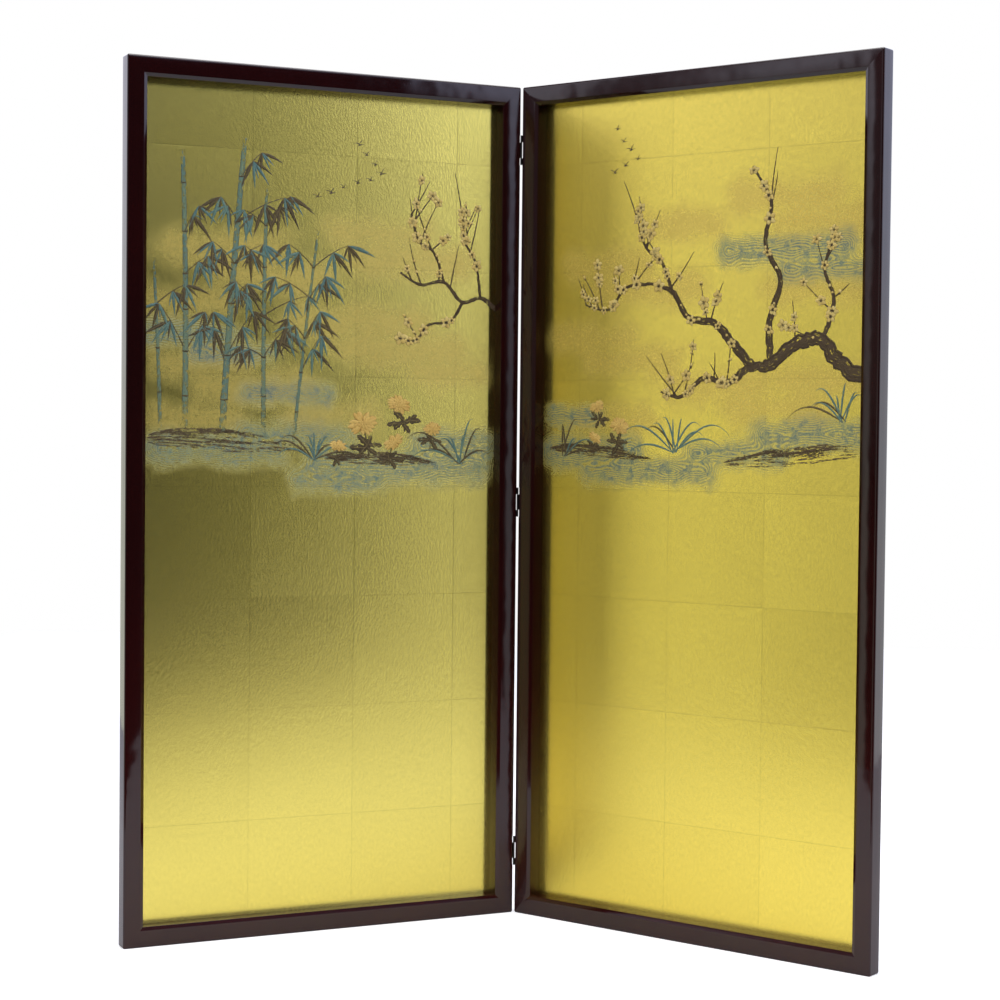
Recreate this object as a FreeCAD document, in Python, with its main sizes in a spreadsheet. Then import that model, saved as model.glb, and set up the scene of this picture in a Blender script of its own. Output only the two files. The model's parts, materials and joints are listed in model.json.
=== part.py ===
import FreeCAD, Part
import math
import os
import Sketcher
from FreeCAD import Placement, Rotation, Vector

# Two-panel folding screen: two mitred, lacquered frames, each holding a board faced
# with gilt paper, joined by three butt hinges whose barrels stand in front of the fold.
# Millimetres. The screen stands on z = 0, its V opens towards -Y, and the origin is the
# middle of its bounding box's foot. "Left" and "right" are as seen from the gilt side.

sizes_table = [
    # the panels and how far they are folded
    ("panel_height", 909.0),
    ("panel_width", 442.5),
    ("fold_angle", 116.4),
    # section of every frame member: depth runs from the front face to the back
    ("face_width", 21.0),
    ("member_depth", 20.5),
    ("front_radius", 2.0),
    ("back_radius", 3.0),
    ("crown_rise", 0.12),
    ("bevel_width", 3.6),
    ("bevel_depth", 1.8),
    ("rebate_width", 7.0),
    ("tip_radius", 2.0),
    # what lies in the rebate, front to back
    ("paper_thickness", 0.3),
    ("board_thickness", 2.4),
    ("lining_thickness", 0.3),
    ("board_clearance", 0.5),
    # loose tongues across the mitres
    ("tongue_width", 11.0),
    ("tongue_length", 9.0),
    ("tongue_thickness", 2.5),
    ("glue_gap", 0.1),
    # brads that hold the board in its rebate
    ("brad_radius", 0.5),
    ("brad_head_radius", 1.1),
    ("brad_head_height", 0.4),
    ("brad_length", 12.0),
    ("brad_point", 1.5),
    ("brad_clearance", 0.05),
    ("brad_margin", 60.0),
    ("stile_brads", 5),
    ("rail_brads", 3),
    ("pilot_allowance", 0.5),
    # butt hinges
    ("hinge_height", 32.0),
    ("hinge_end_distance", 69.0),
    ("leaf_thickness", 0.6),
    ("leaf_width", 9.5),
    ("leaf_fit", 0.1),
    ("pin_radius", 0.35),
    ("pin_clearance", 0.05),
    ("pin_chamfer", 0.1),
    ("end_knuckle", 7.3),
    ("knuckle_gap", 0.2),
    ("relief_reach", 2.8),
    ("relief_depth", 0.8),
    ("closing_gap", 0.4),
    # countersunk hinge screws with a cross recess
    ("screw_radius", 0.9),
    ("screw_head_radius", 1.4),
    ("countersink_angle", 90.0),
    ("screw_length", 11.0),
    ("screw_point", 3.0),
    ("screw_spacing", 18.0),
    ("screw_line", 5.4),
    ("screw_clearance", 0.05),
    ("recess_width", 0.4),
    ("recess_span", 1.6),
    ("recess_depth", 0.3),
    # how far a cutting outline runs past the wood
    ("overrun", 1.0),
]

hinge_names = ("bottom", "middle", "top")

doc = FreeCAD.newDocument("FoldingScreen")
sheet = doc.addObject("Spreadsheet::Sheet", "Sizes")
for row, (alias, amount) in enumerate(sizes_table, start=1):
    sheet.set(f"A{row}", alias)
    sheet.set(f"B{row}", str(amount))
    sheet.setAlias(f"B{row}", alias)
doc.recompute()


def value(text):
    # the number that an expression on the sheet's sizes comes to
    return float(sheet.evalExpression(str(text)))


# Sizes that follow from the sheet, as expressions
panel_height = "Sizes.panel_height"
panel_width = "Sizes.panel_width"
face_width = "Sizes.face_width"
stack = "(Sizes.paper_thickness + Sizes.board_thickness + Sizes.lining_thickness)"
rebate_floor = f"(Sizes.member_depth - {stack})"
board_back = "(Sizes.member_depth - Sizes.lining_thickness)"
brad_line = "(Sizes.face_width - Sizes.rebate_width / 2)"
axis_to_wood = "(Sizes.pin_radius + Sizes.pin_clearance)"
barrel_radius = f"({axis_to_wood} + Sizes.leaf_thickness)"
axis_to_face = "(Sizes.closing_gap / 2)"
hole_radius = "(Sizes.brad_radius + Sizes.brad_clearance)"
pilot_radius = "(Sizes.screw_radius + Sizes.screw_clearance)"
diagonal_share = "sqrt(1 / 2)"


def point(place):
    return Vector(value(place[0]), value(place[1]), 0)


def plane_of(body, role):
    for feature in body.Origin.OriginFeatures:
        if feature.Role == role:
            return feature
    raise ValueError(f"{body.Label} has no {role}")


def add_sketch(body, name, role, offset=None):
    # a sketch on one of the body's own planes, moved along that plane's normal
    sketch = body.newObject("Sketcher::SketchObject", name)
    sketch.AttachmentSupport = [(plane_of(body, role), "")]
    sketch.MapMode = "FlatFace"
    if offset:
        sketch.setExpression("AttachmentOffset.Base.z", offset)
    return sketch


def bind(sketch, constraint, text):
    row = sketch.addConstraint(constraint)
    sketch.setExpression(f"Constraints[{row}]", text)


def hold_point(sketch, edge, end, place):
    # ties one point of an edge to its place, measured from the sketch's origin
    for kind, text in zip(("DistanceX", "DistanceY"), place):
        bind(sketch, Sketcher.Constraint(kind, -1, 1, edge, end, value(text)), text)


def line_from(x, y):
    return {"at": (x, y)}


def arc_from(x, y, centre, radius, turn=1):
    # turn is 1 for an arc that runs anticlockwise about its centre, else -1
    return {"at": (x, y), "centre": centre, "radius": radius, "turn": turn}


def draw_outline(sketch, corners):
    # each corner starts an edge that runs to the next corner
    ends = []
    for index, corner in enumerate(corners):
        start = point(corner["at"])
        finish = point(corners[(index + 1) % len(corners)]["at"])
        if "centre" not in corner:
            edge = sketch.addGeometry(Part.LineSegment(start, finish), False)
            ends.append((edge, 1, 2))
            continue
        centre = point(corner["centre"])
        forwards = corner["turn"] > 0
        first, last = (start, finish) if forwards else (finish, start)
        first_angle = math.atan2(first.y - centre.y, first.x - centre.x)
        last_angle = math.atan2(last.y - centre.y, last.x - centre.x)
        if last_angle <= first_angle:
            last_angle += math.tau
        circle = Part.Circle(centre, Vector(0, 0, 1), value(corner["radius"]))
        edge = sketch.addGeometry(Part.ArcOfCircle(circle, first_angle, last_angle), False)
        ends.append((edge, 1, 2) if forwards else (edge, 2, 1))
    for index, (edge, start, finish) in enumerate(ends):
        following, following_start, _ = ends[(index + 1) % len(ends)]
        joint = Sketcher.Constraint("Coincident", edge, finish, following, following_start)
        sketch.addConstraint(joint)
    for corner, (edge, start, finish) in zip(corners, ends):
        hold_point(sketch, edge, start, corner["at"])
        if "radius" in corner:
            radius = Sketcher.Constraint("Radius", edge, value(corner["radius"]))
            bind(sketch, radius, corner["radius"])


def draw_rectangle(sketch, low, high):
    draw_outline(sketch, [
        line_from(low[0], low[1]),
        line_from(high[0], low[1]),
        line_from(high[0], high[1]),
        line_from(low[0], high[1]),
    ])


def draw_circle(sketch, centre, radius):
    circle = Part.Circle(point(centre), Vector(0, 0, 1), value(radius))
    edge = sketch.addGeometry(circle, False)
    hold_point(sketch, edge, 3, centre)
    bind(sketch, Sketcher.Constraint("Radius", edge, value(radius)), radius)


def pad(body, name, sketch, length, side_type="One side", backwards=False):
    feature = body.newObject("PartDesign::Pad", name)
    feature.Profile = sketch
    feature.setExpression("Length", length)
    feature.SideType = side_type
    feature.Reversed = backwards
    body.Tip = feature
    doc.recompute()
    return feature


def pocket(body, name, sketch, length=None, side_type="One side", backwards=False):
    # with no length the pocket runs through all
    before = body.Shape.Volume
    feature = body.newObject("PartDesign::Pocket", name)
    feature.Profile = sketch
    if length:
        feature.setExpression("Length", length)
    else:
        feature.Type = "ThroughAll"
    feature.SideType = side_type
    feature.Reversed = backwards
    body.Tip = feature
    doc.recompute()
    if not body.Shape.Volume < before:
        raise ValueError(f"{feature.Label} in {body.Label} cuts nothing")
    return feature


def mirror(body, name, features, role):
    feature = body.newObject("PartDesign::Mirrored", name)
    feature.Originals = features
    feature.MirrorPlane = (plane_of(body, role), [""])
    body.Tip = feature
    doc.recompute()
    return feature


def row_of(body, name, features, axis, length, count):
    # repeats features evenly over a length along one axis of the body
    feature = body.newObject("PartDesign::LinearPattern", name)
    feature.Originals = features
    feature.Direction = (plane_of(body, axis), [""])
    feature.setExpression("Length", length)
    feature.setExpression("Occurrences", count)
    body.Tip = feature
    doc.recompute()
    return feature


def member_section():
    # depth along x from the front, face along y from the outer edge inwards
    front = "Sizes.front_radius"
    back = "Sizes.back_radius"
    crown = "Sizes.crown_rise"
    depth = "Sizes.member_depth"
    arris = f"({face_width} - Sizes.bevel_width)"
    rebate = f"({face_width} - Sizes.rebate_width)"
    chord = f"({arris} - {front})"
    crown_radius = f"(({chord} / 2)^2 + {crown}^2) / (2 * {crown})"
    return [
        line_from(f"{crown} + {front}", "0"),
        arc_from(f"{depth} - {back}", "0", (f"{depth} - {back}", back), back),
        line_from(depth, back),
        line_from(depth, rebate),
        line_from(rebate_floor, rebate),
        line_from(rebate_floor, face_width),
        line_from(f"{crown} + Sizes.bevel_depth", face_width),
        arc_from(crown, arris, (crown_radius, f"({arris} + {front}) / 2"), crown_radius),
        arc_from(crown, front, (f"{crown} + {front}", front), front),
    ]


def mitre_waste(length):
    # what is sawn off one end: beyond the 45 degree line, with a rounded outer tip
    end = f"({length} / 2)"
    tip = "Sizes.tip_radius"
    inset = f"({tip} * (1 - {diagonal_share}))"
    over = "Sizes.overrun"
    return [
        line_from(f"{end} - {tip}", f"-{over}"),
        line_from(f"{end} + {over}", f"-{over}"),
        line_from(f"{end} + {over}", f"{face_width} + {over}"),
        line_from(f"{end} - {face_width} - {over}", f"{face_width} + {over}"),
        arc_from(f"{end} - {inset}", inset, (f"{end} - {tip}", tip), tip, -1),
        line_from(f"{end} - {tip}", "0"),
    ]


def tongue_slot(length):
    # a rectangle across the mitre, centred on it, a little larger than the tongue
    middle_x = f"({length} / 2 - {face_width} / 2)"
    middle_y = f"({face_width} / 2)"
    along = f"((Sizes.tongue_width / 2 + Sizes.glue_gap) * {diagonal_share})"
    across = f"((Sizes.tongue_length / 2 + Sizes.glue_gap) * {diagonal_share})"
    return [
        line_from(f"{middle_x} - {along} + {across}", f"{middle_y} + {along} + {across}"),
        line_from(f"{middle_x} - {along} - {across}", f"{middle_y} + {along} - {across}"),
        line_from(f"{middle_x} + {along} - {across}", f"{middle_y} - {along} - {across}"),
        line_from(f"{middle_x} + {along} + {across}", f"{middle_y} - {along} + {across}"),
    ]


def frame_member(label, length, brads):
    # lies along X with its outer edge on z = 0 and its front at y = 0
    body = doc.addObject("PartDesign::Body", label)
    section = add_sketch(body, f"{label}_section", "YZ_Plane")
    draw_outline(section, member_section())
    pad(body, f"{label}_stick", section, length, "Symmetric")

    waste = add_sketch(body, f"{label}_waste", "XZ_Plane")
    draw_outline(waste, mitre_waste(length))
    mitre = pocket(body, f"{label}_mitre", waste, None, "Symmetric")
    slot = add_sketch(body, f"{label}_slot", "XZ_Plane", f"-{rebate_floor} / 2")
    draw_outline(slot, tongue_slot(length))
    slot_depth = "Sizes.tongue_thickness + 2 * Sizes.glue_gap"
    mortise = pocket(body, f"{label}_mortise", slot, slot_depth, "Symmetric")
    mirror(body, f"{label}_far_end", [mitre, mortise], "YZ_Plane")

    pilot = add_sketch(body, f"{label}_pilot", "XZ_Plane", f"-{rebate_floor}")
    draw_circle(pilot, (f"Sizes.brad_margin - {length} / 2", brad_line), hole_radius)
    bite = "(Sizes.brad_length - Sizes.board_thickness - Sizes.paper_thickness)"
    hole = pocket(body, f"{label}_hole", pilot, f"{bite} + Sizes.pilot_allowance", backwards=True)
    spread = f"{length} - 2 * Sizes.brad_margin"
    row_of(body, f"{label}_holes", [hole], "X_Axis", spread, brads)
    return body


def cut_hinge_seats(body):
    # a leaf mortise for each hinge in the outer edge, open at the front, with pilot holes
    # and a deeper relief along the front for the other leaf's knuckles
    label = body.Label
    first = f"(Sizes.hinge_end_distance - {panel_height} / 2)"
    half = "(Sizes.hinge_height / 2 + Sizes.leaf_fit)"
    bed = add_sketch(body, f"{label}_bed", "XY_Plane")
    low = (f"{first} - {half}", "-Sizes.overrun")
    high = (f"{first} + {half}", "Sizes.leaf_width + Sizes.leaf_fit")
    draw_rectangle(bed, low, high)
    seat = pocket(body, f"{label}_seat", bed, "Sizes.leaf_thickness", backwards=True)
    front = add_sketch(body, f"{label}_front", "XY_Plane")
    draw_rectangle(front, low, (f"{first} + {half}", f"Sizes.relief_reach - {axis_to_face}"))
    relief_depth = "(Sizes.leaf_thickness + Sizes.relief_depth)"
    relief = pocket(body, f"{label}_relief", front, relief_depth, backwards=True)
    centres = add_sketch(body, f"{label}_centres", "XY_Plane")
    for sign in "-+":
        centre = (f"{first} {sign} Sizes.screw_spacing / 2", "Sizes.screw_line")
        draw_circle(centres, centre, pilot_radius)
    depth = "Sizes.screw_length + Sizes.pilot_allowance"
    holes = pocket(body, f"{label}_screw_holes", centres, depth, backwards=True)
    spread = f"{panel_height} - 2 * Sizes.hinge_end_distance"
    count = str(len(hinge_names))
    row_of(body, f"{label}_seats", [seat, relief, holes], "X_Axis", spread, count)


def brad_places():
    # (x, z) of every brad in a panel, from the middle of its foot, as expressions
    side = f"({panel_width} / 2 - {brad_line})"
    rail_span = f"({panel_width} - 2 * Sizes.brad_margin)"
    stile_span = f"({panel_height} - 2 * Sizes.brad_margin)"
    stile_count = round(value("Sizes.stile_brads"))
    rail_count = round(value("Sizes.rail_brads"))
    places = []
    for index in range(stile_count):
        height = f"Sizes.brad_margin + {stile_span} * {index} / {stile_count - 1}"
        places.append((f"-{side}", height))
        places.append((side, height))
    for index in range(rail_count):
        reach = f"{rail_span} * {index} / {rail_count - 1} - {rail_span} / 2"
        places.append((reach, brad_line))
        places.append((reach, f"{panel_height} - {brad_line}"))
    return places


def panel_sheet(label, front, thickness):
    # a flat sheet lying in the rebate, its front face at the given depth
    body = doc.addObject("PartDesign::Body", label)
    margin = f"({face_width} - Sizes.rebate_width + Sizes.board_clearance)"
    half = f"({panel_width} / 2 - {margin})"
    outline = add_sketch(body, f"{label}_outline", "XZ_Plane", f"-{front}")
    draw_rectangle(outline, (f"-{half}", margin), (half, f"{panel_height} - {margin}"))
    pad(body, f"{label}_sheet", outline, thickness, backwards=True)
    return body


def punch_brad_holes(body, name, depth, radius, length=None):
    holes = add_sketch(body, f"{body.Label}_{name}", "XZ_Plane", f"-{depth}")
    for place in brad_places():
        draw_circle(holes, place, radius)
    if length:
        pocket(body, f"{body.Label}_{name}_cut", holes, length, backwards=True)
    else:
        pocket(body, f"{body.Label}_{name}_cut", holes, None, "Symmetric")


def turned(label, corners):
    # a piece of revolution about Z
    body = doc.addObject("PartDesign::Body", label)
    outline = add_sketch(body, f"{label}_outline", "XZ_Plane")
    draw_outline(outline, corners)
    feature = body.newObject("PartDesign::Revolution", f"{label}_turning")
    feature.Profile = outline
    feature.ReferenceAxis = (plane_of(body, "Z_Axis"), [""])
    body.Tip = feature
    doc.recompute()
    return body


def brad_master():
    head = "Sizes.brad_head_radius"
    shank = "Sizes.brad_radius"
    return turned("brad", [
        line_from("0", "0"),
        line_from(head, "0"),
        line_from(head, "Sizes.brad_head_height"),
        line_from(shank, "Sizes.brad_head_height"),
        line_from(shank, "Sizes.brad_length - Sizes.brad_point"),
        line_from("0", "Sizes.brad_length"),
    ])


def screw_master():
    head = "Sizes.screw_head_radius"
    shank = "Sizes.screw_radius"
    cone_height = f"({head} - {shank}) / tan(Sizes.countersink_angle / 2)"
    body = turned("screw", [
        line_from("0", "0"),
        line_from(head, "0"),
        line_from(shank, cone_height),
        line_from(shank, "Sizes.screw_length - Sizes.screw_point"),
        line_from("0", "Sizes.screw_length"),
    ])
    long_half = "Sizes.recess_span / 2"
    short_half = "Sizes.recess_width / 2"
    for name, x, y in (("cross", long_half, short_half), ("upright", short_half, long_half)):
        recess = add_sketch(body, f"screw_{name}", "XY_Plane")
        draw_rectangle(recess, (f"-{x}", f"-{y}"), (x, y))
        pocket(body, f"screw_{name}_recess", recess, "Sizes.recess_depth", backwards=True)
    return body


def tongue_master():
    # a flat tongue centred on its own origin, its width along X and its length along Z
    body = doc.addObject("PartDesign::Body", "tongue")
    outline = add_sketch(body, "tongue_outline", "XZ_Plane")
    width = "Sizes.tongue_width / 2"
    length = "Sizes.tongue_length / 2"
    draw_rectangle(outline, (f"-{width}", f"-{length}"), (width, length))
    pad(body, "tongue_plate", outline, "Sizes.tongue_thickness", "Symmetric")
    return body


def hinge_leaf(label, side, owns_ends):
    # The leaf wraps its knuckles round the Z axis. Its plate lies on the side's wood,
    # tangent to the barrel. A leaf owns either the two end knuckles or the middle one, and
    # beside the other leaf's knuckles its plate stops short, as far back as the wood's relief.
    body = doc.addObject("PartDesign::Body", label)
    near = f"{side} * {axis_to_wood}"
    far = f"{side} * {barrel_radius}"
    reach = f"({axis_to_face} + Sizes.leaf_width)"
    rise = f"sqrt({barrel_radius}^2 - {axis_to_wood}^2)"
    section = add_sketch(body, f"{label}_section", "XY_Plane")
    draw_outline(section, [
        line_from(far, "0"),
        line_from(far, reach),
        line_from(near, reach),
        arc_from(near, rise, ("0", "0"), barrel_radius, side),
    ])
    draw_circle(section, ("0", "0"), axis_to_wood)
    pad(body, f"{label}_strip", section, "Sizes.hinge_height", "Symmetric")

    gaps = add_sketch(body, f"{label}_gaps", "YZ_Plane")
    inner = "Sizes.relief_reach"
    outer = f"-({barrel_radius} + Sizes.overrun)"
    half = "(Sizes.hinge_height / 2)"
    if owns_ends:
        middle = f"({half} - Sizes.end_knuckle)"
        draw_rectangle(gaps, (outer, f"-{middle}"), (inner, middle))
    else:
        shoulder = f"({half} - Sizes.end_knuckle - Sizes.knuckle_gap)"
        top = f"({half} + Sizes.overrun)"
        draw_rectangle(gaps, (outer, shoulder), (inner, top))
        draw_rectangle(gaps, (outer, f"-{top}"), (inner, f"-{shoulder}"))
    pocket(body, f"{label}_knuckles", gaps, None, "Symmetric")

    centres = add_sketch(body, f"{label}_centres", "YZ_Plane", near)
    for sign in ("-", ""):
        height = f"{sign}Sizes.screw_spacing / 2"
        draw_circle(centres, (f"{axis_to_face} + Sizes.screw_line", height), pilot_radius)
    before = body.Shape.Volume
    hole = body.newObject("PartDesign::Hole", f"{label}_countersinks")
    hole.Profile = centres
    doc.recompute()
    hole.ThreadType = "None"
    hole.DepthType = "ThroughAll"
    hole.Reversed = side > 0
    hole.HoleCutType = "Countersink"
    hole.HoleCutCustomValues = True
    hole.setExpression("Diameter", f"2 * {pilot_radius}")
    hole.setExpression("HoleCutDiameter", "2 * (Sizes.screw_head_radius + Sizes.screw_clearance)")
    hole.setExpression("HoleCutCountersinkAngle", "Sizes.countersink_angle")
    body.Tip = hole
    doc.recompute()
    if not body.Shape.Volume < before:
        raise ValueError(f"{label} has no screw holes")
    return body


def hinge_pin(label):
    edge = "Sizes.pin_chamfer"
    radius = "Sizes.pin_radius"
    half = "(Sizes.hinge_height / 2)"
    return turned(label, [
        line_from("0", f"-{half}"),
        line_from(f"{radius} - {edge}", f"-{half}"),
        line_from(radius, f"-{half} + {edge}"),
        line_from(radius, f"{half} - {edge}"),
        line_from(f"{radius} - {edge}", half),
        line_from("0", half),
    ])


# Where the panels stand. Each leans out of the X axis by half of what the fold lacks of
# a straight line, and the hinge axis is set so that the box round the screen is centred.
straight_angle = 180.0
quarter_turn = 90.0
height = value(panel_height)
width = value(panel_width)
depth = value("Sizes.member_depth")
lean = (straight_angle - value("Sizes.fold_angle")) / 2
sine = math.sin(math.radians(lean))
cosine = math.cos(math.radians(lean))
wood_step = value(axis_to_wood)
face_step = value(axis_to_face)
front_radius = value("Sizes.front_radius")
back_radius = value("Sizes.back_radius")
back_reach = (face_step + depth - back_radius) * cosine - (wood_step + back_radius) * sine
back_reach += back_radius
front_reach = (face_step + value("Sizes.crown_rise") + front_radius) * cosine
front_reach -= (wood_step + width - front_radius) * sine + front_radius
axis_y = -(back_reach + front_reach) / 2


def fold_frame(side, level=0.0):
    # on the hinge axis, X along the panel of that side (-1 left, 1 right), Y to its back
    return Placement(Vector(0, axis_y, level), Rotation(Vector(0, 0, 1), -side * lean))


def panel_frame(side):
    # the same, moved to the middle of the panel's foot at its front face
    middle = Vector(side * (wood_step + width / 2), face_step, 0)
    return fold_frame(side).multiply(Placement(middle, Rotation()))


def about_y(angle):
    return Rotation(Vector(0, 1, 0), angle)


def seat(part, frame, place, turn):
    part.Placement = frame.multiply(Placement(place, turn))
    finished.append(part)


def add_group(label, master, placements):
    # identical pieces as separate solids of one sub-part
    group = doc.addObject("Part::Feature", label)
    copies = []
    for placement in placements:
        copy = master.Shape.copy()
        copy.Placement = placement
        copies.append(copy)
    group.Shape = Part.makeCompound(copies)
    finished.append(group)


finished = []
brad = brad_master()
screw = screw_master()
tongue = tongue_master()
first_hinge = value("Sizes.hinge_end_distance")
hinge_step = (height - 2 * first_hinge) / (len(hinge_names) - 1)
hinge_levels = {}
for order, name in enumerate(hinge_names):
    hinge_levels[name] = first_hinge + order * hinge_step
side_signs = {"left": -1, "right": 1}

for name, side in side_signs.items():
    frame = panel_frame(side)
    foot = Vector(0, 0, 0)
    bottom_rail = frame_member(f"{name}_bottom_rail", panel_width, "Sizes.rail_brads")
    seat(bottom_rail, frame, foot, Rotation())
    top_rail = frame_member(f"{name}_top_rail", panel_width, "Sizes.rail_brads")
    seat(top_rail, frame, Vector(0, 0, height), about_y(straight_angle))
    outer_stile = frame_member(f"{name}_outer_stile", panel_height, "Sizes.stile_brads")
    outer_place = Vector(side * width / 2, 0, height / 2)
    seat(outer_stile, frame, outer_place, about_y(-side * quarter_turn))
    fold_stile = frame_member(f"{name}_fold_stile", panel_height, "Sizes.stile_brads")
    cut_hinge_seats(fold_stile)
    fold_place = Vector(-side * width / 2, 0, height / 2)
    seat(fold_stile, frame, fold_place, about_y(side * quarter_turn))

    paper = panel_sheet(f"{name}_gilt_paper", rebate_floor, "Sizes.paper_thickness")
    punch_brad_holes(paper, "holes", rebate_floor, hole_radius)
    seat(paper, frame, foot, Rotation())
    board_front = f"({rebate_floor} + Sizes.paper_thickness)"
    board = panel_sheet(f"{name}_board", board_front, "Sizes.board_thickness")
    punch_brad_holes(board, "holes", board_front, hole_radius)
    sink = "(Sizes.brad_head_radius + Sizes.brad_clearance)"
    punch_brad_holes(board, "sinks", board_back, sink, "Sizes.brad_head_height")
    seat(board, frame, foot, Rotation())
    lining = panel_sheet(f"{name}_rear_lining", board_back, "Sizes.lining_thickness")
    seat(lining, frame, foot, Rotation())

    forwards = Rotation(Vector(1, 0, 0), quarter_turn)
    brad_seats = []
    for x, z in brad_places():
        place = Vector(value(x), value(board_back), value(z))
        brad_seats.append(frame.multiply(Placement(place, forwards)))
    add_group(f"{name}_board_brads", brad, brad_seats)

    inset = value(face_width) / 2
    tongue_depth = value(rebate_floor) / 2
    tongue_seats = []
    for across in (-1, 1):
        for level, up in ((inset, 1), (height - inset, -1)):
            place = Vector(across * (width / 2 - inset), tongue_depth, level)
            tilt = about_y(across * up * quarter_turn / 2)
            tongue_seats.append(frame.multiply(Placement(place, tilt)))
    add_group(f"{name}_mitre_tongues", tongue, tongue_seats)

    screw_seats = []
    for level in hinge_levels.values():
        for step in (-1, 1):
            rise = level + step * value("Sizes.screw_spacing") / 2
            place = Vector(-side * width / 2, value("Sizes.screw_line"), rise)
            screw_seats.append(frame.multiply(Placement(place, about_y(side * quarter_turn))))
    add_group(f"{name}_hinge_screws", screw, screw_seats)

for name, level in hinge_levels.items():
    # the middle hinge is fitted the other way round
    for leaf_side, side in side_signs.items():
        owns_ends = (side > 0) != (name == "middle")
        leaf = hinge_leaf(f"{name}_hinge_{leaf_side}_leaf", side, owns_ends)
        seat(leaf, fold_frame(side, level), Vector(0, 0, 0), Rotation())
    pin = hinge_pin(f"{name}_hinge_pin")
    seat(pin, fold_frame(0, level), Vector(0, 0, 0), Rotation())

doc.recompute()
for item in doc.Objects:
    if "Invalid" in item.State or "Error" in item.State:
        raise ValueError(f"{item.Label} could not be built")
for part in finished:
    if part.Shape.isNull() or not part.Shape.isValid():
        raise ValueError(f"{part.Label} has no valid shape")

os.makedirs("parts", exist_ok=True)
for part in finished:
    part.Shape.exportStep(f"parts/{part.Label}.step")
    solids = len(part.Shape.Solids)
    print(f"{part.Label}: {solids} solids, {part.Shape.Volume:.1f} mm3")
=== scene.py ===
import json
import math

import bpy
import numpy as np
from mathutils import Matrix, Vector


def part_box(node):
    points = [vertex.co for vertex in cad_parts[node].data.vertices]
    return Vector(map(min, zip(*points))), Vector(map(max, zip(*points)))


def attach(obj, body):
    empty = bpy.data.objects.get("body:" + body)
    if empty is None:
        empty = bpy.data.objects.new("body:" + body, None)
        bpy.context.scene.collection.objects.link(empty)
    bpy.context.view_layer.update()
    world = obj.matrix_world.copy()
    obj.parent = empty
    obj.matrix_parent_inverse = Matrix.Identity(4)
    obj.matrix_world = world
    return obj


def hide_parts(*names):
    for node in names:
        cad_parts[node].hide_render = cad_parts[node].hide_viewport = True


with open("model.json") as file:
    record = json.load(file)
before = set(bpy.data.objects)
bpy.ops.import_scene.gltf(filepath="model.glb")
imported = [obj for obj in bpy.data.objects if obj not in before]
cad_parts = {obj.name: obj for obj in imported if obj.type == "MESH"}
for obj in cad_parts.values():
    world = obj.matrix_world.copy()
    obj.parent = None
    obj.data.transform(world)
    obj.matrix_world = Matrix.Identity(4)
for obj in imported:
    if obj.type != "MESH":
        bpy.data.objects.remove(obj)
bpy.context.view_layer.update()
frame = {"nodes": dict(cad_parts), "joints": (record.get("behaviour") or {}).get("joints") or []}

# A low folding screen: two lacquered frames round gilt boards, standing in a V that opens towards -Y.
# Everything is in metres. A panel's own plan is (across, up): across runs along the panel from its
# middle to the right as seen from the gilt side, up is height, and depth runs from the front to the back.

mm = 0.001
foldJoint = frame["joints"][0]
lean = math.radians(foldJoint["range_deg"][1]) / 2  # how far each panel turns out of the X axis
axisY = foldJoint["pos_m"][1]
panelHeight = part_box("left_outer_stile")[1].z
sides = {"left": -1, "right": 1}

memberSizes = {
    "faceWidth": 21.0 * mm,
    "depth": 20.5 * mm,
    "frontRadius": 2.0 * mm,
    "backRadius": 3.0 * mm,
    "crownRise": 0.12 * mm,
    "bevelWidth": 3.6 * mm,
    "bevelDepth": 1.8 * mm,
    "rebateWidth": 7.0 * mm,
    "rebateFloor": 17.5 * mm,
    "tipRadius": 2.0 * mm,
    "edgeRadius": 0.35 * mm,
    "mitreStep": 0.25 * mm,
    "stationStep": 40.0 * mm,
    "edgeMatch": 0.0001 * mm,  # a point this near the outer edge counts as on it
}

hingeSizes = {
    "axisToWood": 0.4 * mm,  # from the hinge's axis to the stile's edge
    "axisToFace": 0.2 * mm,  # from the hinge's axis to the frame's front
    "seatDepth": 0.6 * mm,
    "seatReach": 9.6 * mm,  # how far back from the front the leaf's seat runs
    "reliefDepth": 1.4 * mm,  # the deeper cut along the front, beside the knuckles
    "reliefReach": 2.6 * mm,
    "endFit": 0.1 * mm,
    "cutStep": 0.02 * mm,
}


def panelDirections(side):
    # unit vectors along the panel and towards its back
    sign = sides[side]
    along = np.array([math.cos(lean), -sign * math.sin(lean), 0.0])
    back = np.array([sign * math.sin(lean), math.cos(lean), 0.0])
    return along, back


def panelReach(node, side):
    # the least and greatest reach of a CAD node along its panel, measured from the hinge's axis
    mesh = frame["nodes"][node].data
    points = np.empty(len(mesh.vertices) * 3, np.float32)
    mesh.vertices.foreach_get("co", points)
    reach = (points.reshape(-1, 3) - [0.0, axisY, 0.0]) @ panelDirections(side)[0]
    return float(reach.min()), float(reach.max())


railStart, railEnd = panelReach("left_bottom_rail", "left")
panelWidth = railEnd - railStart


def toFrame(side, across, depth, up):
    # row-frame points of a panel's plan: hinge axis + along * (middle + across) + back * depth + up
    along, back = panelDirections(side)
    middle = sides[side] * (hingeSizes["axisToWood"] + panelWidth / 2)
    points = (middle + across)[..., None] * along + (hingeSizes["axisToFace"] + depth)[..., None] * back
    points[..., 1] += axisY
    points[..., 2] += up
    return points


def signedVolume(points, quads):
    # sum over the faces of the volume under each, split into two triangles from its first corner
    first, second, third, fourth = (points[quads[:, corner]] for corner in range(4))
    halves = np.cross(second - first, third - first) + np.cross(third - first, fourth - first)
    return float((first * halves).sum())


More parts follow.
